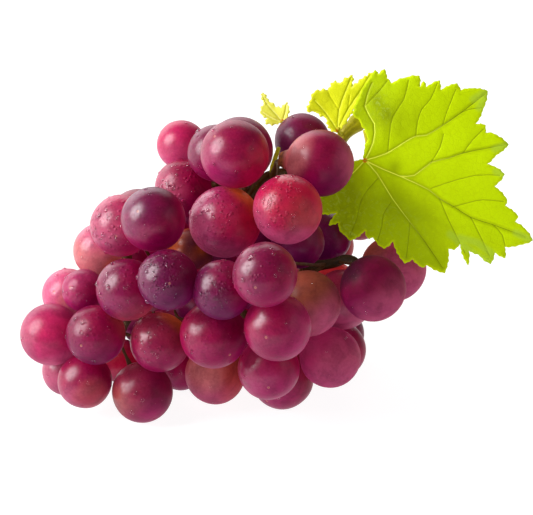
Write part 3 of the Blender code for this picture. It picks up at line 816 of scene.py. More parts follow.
class Value:
    """A number that varies over a surface. An operator on it adds a Math node."""

    def __init__(self, surface: "Surface", socket: bpy.types.NodeSocket) -> None:
        """Wraps an output socket of a surface's tree."""
        self.surface = surface
        self.socket = socket

    def maths(self, operation: str, *values: Any) -> "Value":
        """The result of one Math node.

        Args:
            operation: the node's operation.
            values: a number or a Value for each of its inputs.

        Returns:
            The result.
        """
        node = self.surface.node("ShaderNodeMath", {"operation": operation}, dict(enumerate(values)))
        return Value(self.surface, node.outputs[0])

    def __add__(self, other: Any) -> "Value":
        """Sum."""
        return self.maths("ADD", self, other)

    __radd__ = __add__

    def __mul__(self, other: Any) -> "Value":
        """Product."""
        return self.maths("MULTIPLY", self, other)

    __rmul__ = __mul__

    def __sub__(self, other: Any) -> "Value":
        """Difference."""
        return self.maths("SUBTRACT", self, other)

    def __rsub__(self, other: Any) -> "Value":
        """Difference, the other way round."""
        return self.maths("SUBTRACT", other, self)

    def __truediv__(self, other: Any) -> "Value":
        """Quotient."""
        return self.maths("DIVIDE", self, other)

    def step(self, low: float, high: float) -> "Value":
        """An eased step from 0 at low to 1 at high.

        Args:
            low: where it starts.
            high: where it ends.

        Returns:
            The step.
        """
        inputs = {"Value": self, "From Min": low, "From Max": high}
        node = self.surface.node("ShaderNodeMapRange", {"interpolation_type": "SMOOTHSTEP"}, inputs)
        return Value(self.surface, node.outputs[0])


class Surface:
    """A material and the ways to add nodes to it."""

    def __init__(self, name: str) -> None:
        """Makes the empty material and its coordinates.

        Args:
            name: the material's name.
        """
        self.material = bpy.data.materials.new(name)
        self.material.use_nodes = True
        self.tree = self.material.node_tree
        self.tree.nodes.clear()
        self.place = self.node("ShaderNodeTexCoord", {}, {}).outputs["Object"]

    def node(self, kind: str, settings: dict[str, Any], inputs: dict[Any, Any]) -> bpy.types.Node:
        """Adds one node.

        Args:
            kind: the node's type.
            settings: its own settings, which are set first. A ramp's stops come under "stops".
            inputs: a number, colour, socket or Value for each input, by name or index.

        Returns:
            The node.
        """
        node = self.tree.nodes.new(kind)
        for name, value in settings.items():
            if name == "stops":
                elements = node.color_ramp.elements
                while len(elements) < len(value):
                    elements.new(0.5)
                for element, (position, colour) in zip(elements, value):
                    element.position, element.color = position, (*colour, 1)
            else:
                setattr(node, name, value)
        for name, value in inputs.items():
            socket = node.inputs[name]
            if isinstance(value, Value):
                value = value.socket
            if isinstance(value, bpy.types.NodeSocket):
                self.tree.links.new(value, socket)
            elif isinstance(value, tuple) and len(value) == 3 and socket.type == "RGBA":
                socket.default_value = (*value, 1)
            else:
                socket.default_value = value
        return node

    def noise(self, scale: float, detail: float = 3.0, roughness: float = 0.5, warp: float = 0.0) -> Value:
        """Cloudy noise.

        Args:
            scale: how many features it has a metre.
            detail: how many finer layers lie over them.
            roughness: how strong those are.
            warp: how far it is distorted.

        Returns:
            Its value, 0 to 1.
        """
        inputs = {"Vector": self.place, "Scale": scale, "Detail": detail, "Roughness": roughness}
        node = self.node("ShaderNodeTexNoise", {"noise_dimensions": "3D"}, {**inputs, "Distortion": warp})
        return Value(self, node.outputs["Fac"])

    def cells(self, scale: float, feature: str = "F1") -> Value:
        """Distance to the nearest cell point or edge.

        Args:
            scale: how many cells there are a metre.
            feature: which distance it is.

        Returns:
            The distance.
        """
        inputs = {"Vector": self.place, "Scale": scale}
        made = self.node("ShaderNodeTexVoronoi", {"feature": feature}, inputs)
        return Value(self, made.outputs["Distance"])

    def attribute(self, name: str) -> bpy.types.Node:
        """The node that reads an attribute of the piece."""
        return self.node("ShaderNodeAttribute", {"attribute_name": name}, {})

    def number(self, name: str) -> Value:
        """A numeric attribute of the piece."""
        return Value(self, self.attribute(name).outputs["Fac"])

    def mix(self, factor: Any, one: Any, other: Any, blend: str = "MIX") -> bpy.types.NodeSocket:
        """One colour, passing into or blended with another.

        Args:
            factor: how much of the other there is, 0 to 1.
            one: the first colour.
            other: the second.
            blend: how they are blended.

        Returns:
            The result.
        """
        settings = {"data_type": "RGBA", "blend_type": blend, "clamp_factor": True}
        return self.node("ShaderNodeMix", settings, {0: factor, 6: one, 7: other}).outputs[2]

    def bump(self, height: Value, distance: float, strength: float = 1.0) -> bpy.types.NodeSocket:
        """The normal of a surface with this relief."""
        inputs = {"Height": height, "Distance": distance, "Strength": strength}
        return self.node("ShaderNodeBump", {}, inputs).outputs["Normal"]

    def finish(self, inputs: dict[str, Any]) -> bpy.types.Material:
        """Closes the tree with one Principled shader.

        Args:
            inputs: the shader's inputs by name.

        Returns:
            The material.
        """
        shader = self.node("ShaderNodeBsdfPrincipled", {}, inputs)
        self.node("ShaderNodeOutputMaterial", {}, {"Surface": shader.outputs["BSDF"]})
        return self.material


@dataclass(frozen=True)
class SkinFinish:
    """Grape skin: mottled, with a dull bloom over it, fine pale dots and a scar at the flower end."""

    bloom: tuple[float, float, float] = srgb(134, 22, 92)
    dot: tuple[float, float, float] = srgb(190, 110, 120)
    scar: tuple[float, float, float] = srgb(96, 40, 36)
    scar_rim: tuple[float, float, float] = srgb(176, 112, 96)
    neck_light: tuple[float, float, float] = srgb(118, 62, 26)
    neck_dark: tuple[float, float, float] = srgb(66, 30, 16)
    # What darker and livelier spots multiply the skin's colour by, and the share of it that the skin glows
    # with:
    # painted light that stands in for light shining through the flesh.
    deeper: tuple[float, float, float] = (0.50, 0.34, 0.42)
    livelier: tuple[float, float, float] = (1.5, 1.6, 1.5)
    glow: tuple[float, float, float] = (0.38, 0.30, 0.40)
    neck_glow: tuple[float, float, float] = (0.01, 0.004, 0.001)
    tint: tuple[float, float, float, float] = (1.0, 0.78, 0.90, 1)
    sheen: tuple[float, float, float, float] = (0.95, 0.62, 0.80, 1)
    # How far the scar and its rim reach from the flower end, in millimetres.
    scar_edge: tuple[float, float] = (0.10, 0.26)
    rim_edge: tuple[float, float] = (0.38, 0.66)
    bead_height: float = 1.9
    relief_height: float = 0.00022

    def haze(self, surface: Surface, amount: Value) -> Value:
        """How much bloom lies there: patches of it, and specks within them.

        Args:
            surface: the material.
            amount: how much the berry has.

        Returns:
            The share of the skin that it hides.
        """
        patches = surface.noise(210, 5, 0.7, 1.0).step(0.42, 0.75)
        specks = surface.noise(1500, 3).step(0.35, 0.6)
        return amount * patches * (0.35 + 0.65 * specks)

    def marks(self, surface: Surface, dusty: bpy.types.NodeSocket) -> bpy.types.NodeSocket:
        """The skin with pale dots and the scar at the flower end.

        Args:
            surface: the material.
            dusty: the colour of the skin under its bloom.

        Returns:
            The colour with both.
        """
        dots = (1 - surface.cells(520).step(0.05, 0.13)) * surface.noise(330, 2).step(0.52, 0.60)
        dotted = surface.mix(0.35 * dots, dusty, self.dot)
        tip = surface.number("tip")
        ringed = surface.mix(0.75 * (1 - tip.step(*self.rim_edge)), dotted, self.scar_rim)
        return surface.mix(1 - tip.step(*self.scar_edge), ringed, self.scar)

    def material(self) -> bpy.types.Material:
        """Builds the material.

        Returns:
            The material.
        """
        surface = Surface("grape_skin")
        skin = surface.attribute("skin")
        colour = skin.outputs["Color"]
        clouds = surface.noise(150, 4, 0.6, 0.6).step(0.36, 0.68)
        grain = surface.noise(900, 4, 0.65).step(0.35, 0.7)
        deep = surface.mix(0.55 * clouds, colour, surface.mix(1.0, colour, self.deeper, "MULTIPLY"))
        lively = surface.mix(0.30 * grain, deep, surface.mix(1.0, colour, self.livelier, "MULTIPLY"))
        lit, wet, neck = surface.number("lit"), surface.number("wet"), surface.number("neck")
        haze = self.haze(surface, Value(surface, skin.outputs["Alpha"]))
        # The bloom is the skin's own; its extra share on the lit side is a painted highlight that pales it
        # there.
        scarred = self.marks(surface, surface.mix(0.03 + 0.22 * haze + 0.10 * lit, lively, self.bloom))
        base = surface.mix(neck, scarred, surface.mix(grain, self.neck_light, self.neck_dark))
        # Painted light: the skin glows with a share of its own colour, and the neck a little.
        dimmed = surface.mix(0.35 * clouds, colour, (0.0, 0.0, 0.0))
        own = surface.mix(neck, surface.mix(1.0, dimmed, self.glow, "MULTIPLY"), self.neck_glow)
        beads = (1 - surface.cells(560).step(0.10, 0.44)) * surface.noise(280, 2).step(0.40, 0.50)
        pores = 0.30 * surface.noise(700, 3, 0.6) + 0.15 * surface.noise(1500, 2)
        relief = pores + self.bead_height * wet * beads
        rough = 0.36 + 0.16 * haze + 0.06 * grain + 0.3 * neck - 0.12 * wet + 0.32 * surface.number("matt")
        coat = lit * (0.56 + 0.30 * grain - 0.25 * haze - 0.25 * wet * beads) * (1 - neck)
        return surface.finish({
            "Base Color": base,
            "Roughness": rough,
            "Coat Weight": coat.maths("MINIMUM", coat, 1.0),
            "Coat Roughness": 0.28,
            "Coat IOR": 1.5,
            "IOR": 1.42,
            "Specular IOR Level": 0.16,
            "Specular Tint": self.tint,
            "Subsurface Weight": 0.15,
            "Subsurface Radius": (0.9, 0.25, 0.2),
            "Subsurface Scale": 0.004,
            "Sheen Weight": 0.012,
            "Sheen Roughness": 0.35,
            "Sheen Tint": self.sheen,
            "Emission Color": own,
            "Emission Strength": 1.0,
            "Normal": surface.bump(relief, self.relief_height),
        })


@dataclass(frozen=True)
class StalkFinish:
    """Green stalk bark, browner where it is old, ribbed lengthwise and dotted, with painted shade between its
    ribs and on the branches that lie in shadow, and a painted glow.
    """

    green: tuple[float, float, float] = srgb(200, 190, 6)
    brown: tuple[float, float, float] = srgb(78, 46, 22)
    # The dark colour is painted shade.
    dark: tuple[float, float, float] = srgb(38, 26, 10)
    dot: tuple[float, float, float] = srgb(176, 160, 96)
    # Painted light: the bark glows with this share of its own colour.
    glow: tuple[float, float, float] = (0.14, 0.14, 0.06)
    # The values past brown over which painted shade turns the bark nearly black where a branch lies in
    # shadow.
    painted_shade_span: tuple[float, float] = (1.1, 1.8)
    relief_height: float = 0.00012

    def material(self) -> bpy.types.Material:
        """Builds the material.

        Returns:
            The material.
        """
        surface = Surface("stalk_bark")
        age, ribs = surface.number("age"), surface.number("rib")
        patches = surface.noise(260, 4, 0.6).step(0.3, 0.7)
        colour = surface.mix(age * 1.15 + 0.10 * (patches - 0.5), self.green, self.brown)
        # Painted shade: the hollows between the ribs are darkened, with random darker patches.
        groove_shade = 0.30 * (1 - ribs) + 0.15 * surface.noise(1200, 3).step(0.4, 0.7)
        # Painted shade: the dark bark colour goes between the ribs and over branches that lie in shadow.
        shaded = surface.mix(groove_shade + 0.6 * age.step(*self.painted_shade_span), colour, self.dark)
        dots = (1 - surface.cells(900).step(0.08, 0.2)) * surface.noise(400).step(0.5, 0.6)
        dotted = surface.mix(0.5 * dots, shaded, self.dot)
        return surface.finish({
            "Base Color": dotted,
            "Roughness": 0.5 + 0.2 * patches,
            # Painted light: a glow of the bark's own colour.
            "Emission Color": surface.mix(1.0, dotted, self.glow, "MULTIPLY"),
            "Emission Strength": 1.0,
            "Specular IOR Level": 0.35,
            "Normal": surface.bump(surface.noise(1600, 3, 0.6) + ribs, self.relief_height),
        })


@dataclass(frozen=True)
class LeafFinish:
    """A thin leaf that glows with painted light in place of light coming through it, with pale main veins and
    a fine net between them.
    """

    name: str
    blade: tuple[float, float, float]
    deep: tuple[float, float, float]
    vein: tuple[float, float, float]
    dark_vein: tuple[float, float, float]
    edge: tuple[float, float, float]
    # Painted light: the share of its own colour that the leaf glows with, for light that comes through it.
    glow: float
    # The pale streaks: partly the dry leaf's own grey-green, partly painted highlight on its crinkles.
    streak: tuple[float, float, float] = srgb(158, 178, 84)
    hub: tuple[float, float, float] = srgb(196, 92, 20)
    fold: tuple[float, float, float] = srgb(160, 190, 60)
    # Half the width of a main vein at the hub, and how much of it goes with each millimetre from there.
    vein_half: float = 0.27
    vein_taper: float = 0.0026
    # Distances in millimetres over which each part of the leaf fades.
    hub_edge: tuple[float, float] = (0.5, 1.3)
    pale_veins: tuple[float, float] = (14, 44)
    side_vein_edge: tuple[float, float] = (0.06, 0.26)
    halo_edge: tuple[float, float] = (0.35, 1.5)
    rim_edge: tuple[float, float] = (0.1, 1.1)
    fold_edge: tuple[float, float] = (0.3, 2.4)
    relief_height: float = 0.0003

    def blade_colour(self, surface: Surface, wash: Value, net: Value, fine: Value) -> bpy.types.NodeSocket:
        """The blade between its veins.

        Args:
            surface: the material.
            wash: broad cloudy patches.
            net: the lines of the wide net.
            fine: the lines of the fine one.

        Returns:
            Its colour, darker under painted shade, with pale streaks where that shade is deep, specks and a
            lighter edge.
        """
        shade = surface.number("shade")
        # Painted shade: the blade turns towards its deep green where the shade number is high.
        body = surface.mix(shade + 0.28 * (wash - 0.5), self.blade, self.deep)
        netted = surface.mix(0.12 * net + 0.10 * fine, body, self.deep)
        # Pale streaks where the painted shade is deep: partly the dry leaf's own grey-green, partly painted
        # highlights on its crinkles.
        streaks = surface.noise(300, 5, 0.75, 2.0).step(0.50, 0.64)
        lined = surface.mix(0.42 * shade.step(0.45, 1.0) * streaks, netted, self.streak)
        lively = surface.mix(0.18 * surface.noise(900, 3, 0.6).step(0.55, 0.72), lined, self.edge)
        return surface.mix(0.55 * (1 - surface.number("rim").step(*self.rim_edge)), lively, self.edge)

    def material(self) -> bpy.types.Material:
        """Builds the material.

        Returns:
            The material.
        """
        surface = Surface(self.name)
        vein, side, hub = surface.number("vein"), surface.number("side"), surface.number("hub")
        wash = surface.noise(70, 3, 0.55, 0.5).step(0.3, 0.72)
        net = 1 - surface.cells(420, "DISTANCE_TO_EDGE").step(0.0, 0.055)
        fine = 1 - surface.cells(1250, "DISTANCE_TO_EDGE").step(0.0, 0.09)
        edged = self.blade_colour(surface, wash, net, fine)
        sided = surface.mix(0.70 * (1 - side.step(*self.side_vein_edge)), edged, self.dark_vein)
        # Painted shade: a darker band beside the main veins.
        halo = surface.mix(0.35 * (1 - vein.step(*self.halo_edge)), sided, self.deep)
        line = surface.mix(hub.step(*self.pale_veins), self.vein, self.dark_vein)
        half = self.vein_half - self.vein_taper * hub
        veined = surface.mix(1 - (vein / half).step(0.55, 1.25), halo, line)
        dotted = surface.mix(1 - hub.step(*self.hub_edge), veined, self.hub)
        folded = surface.mix(0.62 * (1 - surface.number("fold").step(*self.fold_edge)), dotted, self.fold)
        relief = 0.5 * side.step(0.0, 0.6) + 0.7 * vein.step(0.0, 0.8) - 0.16 * net - 0.10 * fine
        return surface.finish({
            "Base Color": folded,
            "Roughness": 0.60 + 0.15 * wash,
            # Painted light: a glow of the leaf's own colour.
            "Emission Color": surface.mix(1.0, folded, (self.glow, self.glow, 0.0), "MULTIPLY"),
            "Emission Strength": 1.0,
            "Specular IOR Level": 0.06,
            "Normal": surface.bump(relief, self.relief_height),
        })


@dataclass(frozen=True)
class WaterFinish:
    """Clear water."""

    def material(self) -> bpy.types.Material:
        """Builds the material.

        Returns:
            The material.
        """
        surface = Surface("water")
        return surface.finish({
            "Base Color": (1.0, 0.97, 0.98),
            "Roughness": 0.02,
            "IOR": 1.33,
            "Transmission Weight": 1.0,
            "Normal": surface.bump(surface.noise(500, 1), 0.00002),
        })


@dataclass
class Dresser:
    """Turns a filled bmesh into a finished piece that stands where the solids stand."""

    shift: Vector = field(default_factory=lambda: Vector((0, 0, 0)))

    def settle(self) -> "Dresser":
        """Reads from the frame how far the solids were moved.

        Returns:
            This object.
        """
        _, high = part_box("leaf_large")
        hub_across, hub_up, hub_depth = LARGE_HUB
        corners = [
            place(hub_across + across, hub_up + up, hub_depth + leaf_depth("leaf_large", across, up) - drop)
            for across, up in LARGE_OUTLINE
            for drop in (0.0, BLADE)
        ]
        self.shift = Vector((
            high.x - max(point.x for point in corners) * MM,
            high.y - max(point.y for point in corners) * MM,
            -FLOOR * MM,
        ))
        return self

    def piece(
        self, name: str, shape: bmesh.types.BMesh, material: bpy.types.Material, slot: str, *nodes: str
    ) -> bpy.types.Object:
        """Makes the object, shades it smooth, puts it under the root and hides the solids that it replaces.

        Args:
            name: the piece's name.
            shape: its bmesh, in metres before the move, which is freed.
            material: its material.
            slot: not used.
            nodes: the solids that it replaces.

        Returns:
            The object.
        """
        for vert in shape.verts:
            vert.co += self.shift
        mesh = bpy.data.meshes.new(name)
        shape.to_mesh(mesh)
        shape.free()
        mesh.materials.append(material)
        mesh.shade_smooth()
        made = bpy.data.objects.new(name, mesh)
        bpy.context.scene.collection.objects.link(made)
        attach(made, "root")
        if nodes:
            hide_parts(*nodes)
        count = sum(len(face.vertices) - 2 for face in mesh.polygons)
        LOG.info("%s: %d triangles", name, count)
        return made


def leaf_depth(kind: str, across: float, up: float) -> float:
    """How far a leaf's surface lies towards the eye from its hub, as the solids have it.

    Args:
        kind: the leaf's node.
        across: how far across from the hub.
        up: how far up from it.

    Returns:
        The depth in millimetres.
    """
    if kind == "leaf_large":
        far = math.hypot(across, up)
        angle = math.atan2(up, across)
        waves = 0.030 * far * math.cos(5 * angle + 1.3)
        lean = -0.09 * up
        droop = -0.0011 * max(across, 0.0) ** 2
        tuck = -0.30 * max(-across - 1.0, 0.0) * max(0.0, 1 - abs(up + 5) / 16)
        return waves + lean + droop + tuck
    if kind == "leaf_small":
        return 0.10 * abs(across + 0.2 * up) - 0.16 * up
    return 0.12 * abs(across + 0.6 * up) + 0.05 * up


# The number layers of a skin: distance from the flower end, then shares of neck, water, gloss and dullness.
# The gloss share also lays a painted highlight of paler bloom on the lit side.
SKIN_NUMBERS = ("tip", "neck", "wet", "lit", "matt")


@dataclass
class Berries:
    """The berries' skins, pressed flat where they touch. Lengths are in millimetres."""

    packing: Packing
    dresser: Dresser
    # Segments around and along a berry.
    near_sides: tuple[int, int] = (48, 30)
    far_sides: tuple[int, int] = (36, 24)
    # How the rings crowd towards the flower end, or towards the neck of the berry that has one.
    crowd: float = 1.28
    neck_crowd: float = 0.72
    touch: float = 0.03
    reach_of_touch: float = 0.3
    longer: float = 0.012
    uneven: float = 0.16
    # The flower end: a ring's height, its distance from the tip and its half width, then the pit within it.
    tip_ring: tuple[float, float, float] = (0.10, 0.75, 0.35)
    tip_pit: tuple[float, float] = (0.22, 0.42)
    stalk_pit: tuple[float, float] = (0.35, 2.4)
    # The neck: where it flares, its swelling and its wrinkles, each with how far that reaches.
    neck_flare: tuple[float, float] = (1.9, 4.3)
    neck_swell: tuple[float, float] = (0.45, 5.5)
    neck_wrinkle: tuple[float, float] = (0.25, 3.5)
    neck_skin: tuple[float, float] = (2.9, 4.6)
    # Berries whose scar isn't shown have it pushed this far past its own edge.
    no_scar: float = 0.55
    seed: int = 900

    def neighbours(self, berry: Berry) -> list[tuple[Vector, float]]:
        """The planes that press on a berry.

        Args:
            berry: the berry.

        Returns:
            The way to each neighbour, and how far off their contact plane lies.
        """
        planes = []
        for other in self.packing.berries:
            gap = other.centre - berry.centre
            if 0 < gap.length < berry.radius + other.radius + self.reach_of_touch:
                reach = (gap.length**2 + berry.radius**2 - other.radius**2) / (2 * gap.length)
                planes.append((gap.normalized(), reach - self.touch))
        return planes

    def tone(self, berry: Berry, way: Vector, unseen: tuple) -> tuple[float, ...]:
        """Colour of the skin on one side of a berry, with the painted reflection, highlight and shade that
        its sides in SKINS and the lilac underside lay on it.

        Args:
            berry: the berry.
            way: unit vector from its centre.
            unseen: the skins of a berry that isn't in the table.

        Returns:
            The colour, with the bloom as its fourth value.
        """
        main, second, side, *patches = SKINS.get(berry.name, unseen)
        wander = 0.30 * noise.noise(way * 1.6 + berry.centre * 0.1)
        share = 0.9 * smooth(-0.05, 0.95, way.dot(toward(side)) + wander)
        steps = [(second.value[0], share)]
        for patch, patch_side in zip(patches[::2], patches[1::2]):
            near = way.dot(toward(patch_side)) + 0.5 * wander
            steps.append((patch.value[0], 0.85 * smooth(0.58, 1.0, near)))
        steps.append((Ripeness.AMBER.value[0], 0.5 * smooth(0.80, 1.0, -way.dot(berry.axis))))
        # Painted reflection of the floor on the underside.
        steps.append((UNDERSIDE_REFLECTION, UNDERSIDE_REFLECTION_SHARE * smooth(0.15, -0.8, way.dot(UP))))
        colour = main.value[0]
        for other, amount in steps:
            colour = [a + (b - a) * amount for a, b in zip(colour, other)]
        return (*colour, main.value[1] + (second.value[1] - main.value[1]) * share)

    def shape_of(self, berry: Berry, way: Vector, angle: float) -> tuple[float, float]:
        """How far the skin lies from the berry's centre that way, and how much of it is neck.

        Args:
            berry: the berry.
            way: unit vector from its centre.
            angle: the angle from its flower end.

        Returns:
            The distance in millimetres, and 0 to 1.
        """
        far = berry.radius * (1 + self.longer * (abs(way.dot(berry.axis)) ** 2 - 0.4))
        far += self.uneven * noise.noise(way * 1.3 + berry.centre)
        along = angle * berry.radius
        height, middle, half = self.tip_ring
        far += height * hump(along - middle, half) - self.tip_pit[0] * hump(along, self.tip_pit[1])
        back = (math.pi - angle) * berry.radius
        if berry.name != NECKED:
            return far - self.stalk_pit[0] * hump(back, self.stalk_pit[1]), 0.0
        length = (berry.centre - place(*NECK_TIP)).length - berry.radius
        wrinkle = self.neck_wrinkle[0] * noise.noise(way * 14.0)
        far += (length + 0.3) * (1 - smooth(*self.neck_flare, back))
        far += self.neck_swell[0] * hump(back, self.neck_swell[1])
        far += wrinkle * hump(back, self.neck_wrinkle[1])
        return far, 1 - smooth(*self.neck_skin, back)

    def unseen_skins(self, number: int) -> tuple:
        """Two skins and a side, drawn for one berry out of sight.

        Args:
            number: the berry's place in the list.

        Returns:
            The skins and the side.
        """
        rng = random.Random(self.seed + number)
        pair = (rng.choice(UNSEEN_SKINS), rng.choice(UNSEEN_SKINS))
        return (*pair, (rng.uniform(-1, 1), rng.uniform(-1, 1), rng.uniform(-1, 1)))

    def pressed(self, berry: Berry, offset: Vector, planes: Sequence[tuple[Vector, float]]) -> Vector:
        """A point of a berry's skin, pressed back by its neighbours and by the surface.

        Args:
            berry: the berry.
            offset: the point, from the berry's centre.
            planes: the planes that press on the berry.

        Returns:
            The point in millimetres.
        """
        for way, reach in planes:
            over = offset.dot(way) - reach
            if over > 0:
                offset -= way * over
        point = berry.centre + offset
        point.z = max(point.z, FLOOR)
        return point

    def one(self, berry: Berry, number: int, sides: tuple[int, int]) -> bmesh.types.BMesh:
        """Shapes and colours one berry.

        Args:
            berry: the berry.
            number: its place in the list, which seeds its colours.
            sides: segments around and along.

        Returns:
            Its bmesh.
        """
        shape = empty_shape(SKIN_NUMBERS, ("skin",))
        colours = shape.verts.layers.float_color["skin"]
        tips, necks, wets, lits, matts = (shape.verts.layers.float[name] for name in SKIN_NUMBERS)
        gloss = GLOSS.get(berry.name, 1.0)
        wetness = min(WET.get(berry.name, UNSEEN_WET) / WETTEST, 1.0)
        scar = 0 if berry.name in FLOWER_ENDS or not berry.shown else self.no_scar
        crowd = self.neck_crowd if berry.name == NECKED else self.crowd
        unseen = self.unseen_skins(number)
        turn = Vector((0, 0, 1)).rotation_difference(berry.axis).to_matrix()
        planes = self.neighbours(berry)
        made = bmesh.ops.create_uvsphere(shape, u_segments=sides[0], v_segments=sides[1], radius=1)
        for vert in made["verts"]:
            angle = math.pi * (math.acos(min(max(vert.co.z, -1.0), 1.0)) / math.pi) ** crowd
            flat = Vector((vert.co.x, vert.co.y, 0))
            flat = flat.normalized() if flat.length > 1e-6 else flat
            way = turn @ (flat * math.sin(angle) + Vector((0, 0, math.cos(angle))))
            far, neck = self.shape_of(berry, way, angle)
            vert.co = self.pressed(berry, way * far, planes) * MM
            vert[colours] = self.tone(berry, way, unseen)
            vert[tips] = angle * berry.radius + scar
            vert[lits] = gloss * smooth(0.25, 0.92, way.dot(LIT_SIDE))
            vert[matts] = max(1.0 - gloss, 0.0)
            vert[wets] = wetness * smooth(0.1, 0.85, way.dot(LIT_SIDE))
            vert[necks] = neck
        return shape

    def build(self, skin: bpy.types.Material) -> None:
        """Makes the two pieces of the near and the far berries.

        Args:
            skin: their material.
        """
        halves = (("berries_near", True, self.near_sides), ("berries_far", False, self.far_sides))
        for name, shown, sides in halves:
            shape = empty_shape(SKIN_NUMBERS, ("skin",))
            for number, berry in enumerate(self.packing.berries):
                if berry.shown == shown:
                    add_part(shape, self.one(berry, number, sides))
            self.dresser.piece(name, shape, skin, "berries", "berries")


@dataclass
class Drops:
    """Drops of water on the berries, most on the side that the light comes from."""

    packing: Packing
    dresser: Dresser
    skins: Berries
    sides: tuple[int, int] = (10, 7)
    seed: int = 77
    smallest: float = 0.28
    largest: float = 1.2
    # The higher it is, the more of the drops are small.
    favour_small: float = 2.4
    # A drop's height as a share of its half width, then a run's height, and what widens it.
    height: float = 0.68
    run_height: float = 0.75
    run_width: float = 1.2
    room: float = 0.35
    sunk: float = 0.05
    tries: int = 3
    # A drop is kept where this share, which grows towards the lit side, is above a draw from 0 to 1.
    kept_in_shade: float = 0.18
    kept_out_of_sight: float = 0.34
    # Longer runs of water: berry, across and up from its centre, half length, half width, lean in degrees.
    runs: tuple = (
        ("b08", -7.2, 2.6, 2.7, 0.75, 8), ("b08", -9.6, 3.4, 1.3, 0.5, 20),
        ("b07", -6.6, 4.9, 1.5, 0.5, 70), ("b07", -9.0, 3.6, 1.6, 0.45, -20),
        ("b07", -4.6, 2.2, 1.5, 0.45, 35), ("b05", -6.6, 1.6, 1.9, 0.55, 6),
        ("b05", -4.2, 0.6, 1.6, 0.5, 14), ("b04", -6.0, -6.0, 2.2, 0.5, 55),
        ("b40", -5.0, 3.0, 1.1, 0.5, 0),
    )

    def free(self, berry: Berry, point: Vector, room: float) -> bool:
        """Whether a spot on a berry is clear of every other berry and of the surface.

        Args:
            berry: the berry.
            point: the spot in millimetres.
            room: how much clear space it takes.

        Returns:
            True where there is room.
        """
        clear = all(
            (point - other.centre).length > other.radius + room
            for other in self.packing.berries
            if other is not berry
        )
        return clear and point.z > FLOOR + room

    def add(self, shape: bmesh.types.BMesh, berry: Berry, way: Vector, size: Vector, lean: float) -> None:
        """Adds one drop.

        Args:
            shape: the bmesh.
            berry: the berry that it lies on.
            way: unit vector from the berry's centre to it.
            size: half length, half width and height in millimetres.
            lean: how far its length turns from straight down, in radians.
        """
        down = (Vector((0, 0, -1)) - way * way.dot(Vector((0, 0, -1)))).normalized()
        side = way.cross(down)
        along = down * math.cos(lean) + side * math.sin(lean)
        frame_of_drop = Matrix((along, way.cross(along), way)).transposed()
        far, _ = self.skins.shape_of(berry, way, way.angle(berry.axis))
        drop = bmesh.new()
        bmesh.ops.create_uvsphere(drop, u_segments=self.sides[0], v_segments=self.sides[1], radius=1)
        for vert in drop.verts:
            local = Vector((vert.co.x * size.x, vert.co.y * size.y, vert.co.z * size.z))
            bend = (local.x**2 + local.y**2) / (2 * berry.radius)
            local.z -= bend
            vert.co = (berry.centre + way * (far - self.sunk) + frame_of_drop @ local) * MM
        add_part(shape, drop)

    def kept(self, berry: Berry, way: Vector, draw: float) -> bool:
        """Whether a drop stays on a berry: mostly on the lit side of the ones in sight.

        Args:
            berry: the berry.
            way: unit vector from the berry's centre to the drop.
            draw: a number drawn from 0 to 1.

        Returns:
            True where it stays.
        """
        if not berry.shown:
            return draw <= self.kept_out_of_sight
        lit = smooth(0.1, 0.95, way.dot(LIT_SIDE))
        return way.dot(NEAR) >= 0.05 and draw <= self.kept_in_shade + (1 - self.kept_in_shade) * lit

    def build(self, water: bpy.types.Material) -> None:
        """Makes the one piece of all drops.

        Args:
            water: their material.
        """
        rng = random.Random(self.seed)
        shape = bmesh.new()
        for berry in self.packing.berries:
            for _ in range(self.tries * WET.get(berry.name, UNSEEN_WET)):
                way = Vector([rng.gauss(0, 1) for _ in range(3)]).normalized()
                size = self.smallest + (self.largest - self.smallest) * rng.random() ** self.favour_small
                draw = rng.random()
                lean = rng.uniform(-0.5, 0.5)
                spot = berry.centre + way * berry.radius
                if self.kept(berry, way, draw) and self.free(berry, spot, size + self.room):
                    long = size * rng.uniform(1.0, 1.3)
                    self.add(shape, berry, way, Vector((long, size, size * self.height)), lean)
        by_name = {berry.name: berry for berry in self.packing.berries}
        for name, across, up, half, wide, lean in self.runs:
            berry = by_name[name]
            way = toward((across, up, math.sqrt(berry.radius**2 - across**2 - up**2)))
            size = Vector((half, wide * self.run_width, self.run_height))
            self.add(shape, berry, way, size, math.radians(lean))
        self.dresser.piece("drops", shape, water, "berries")


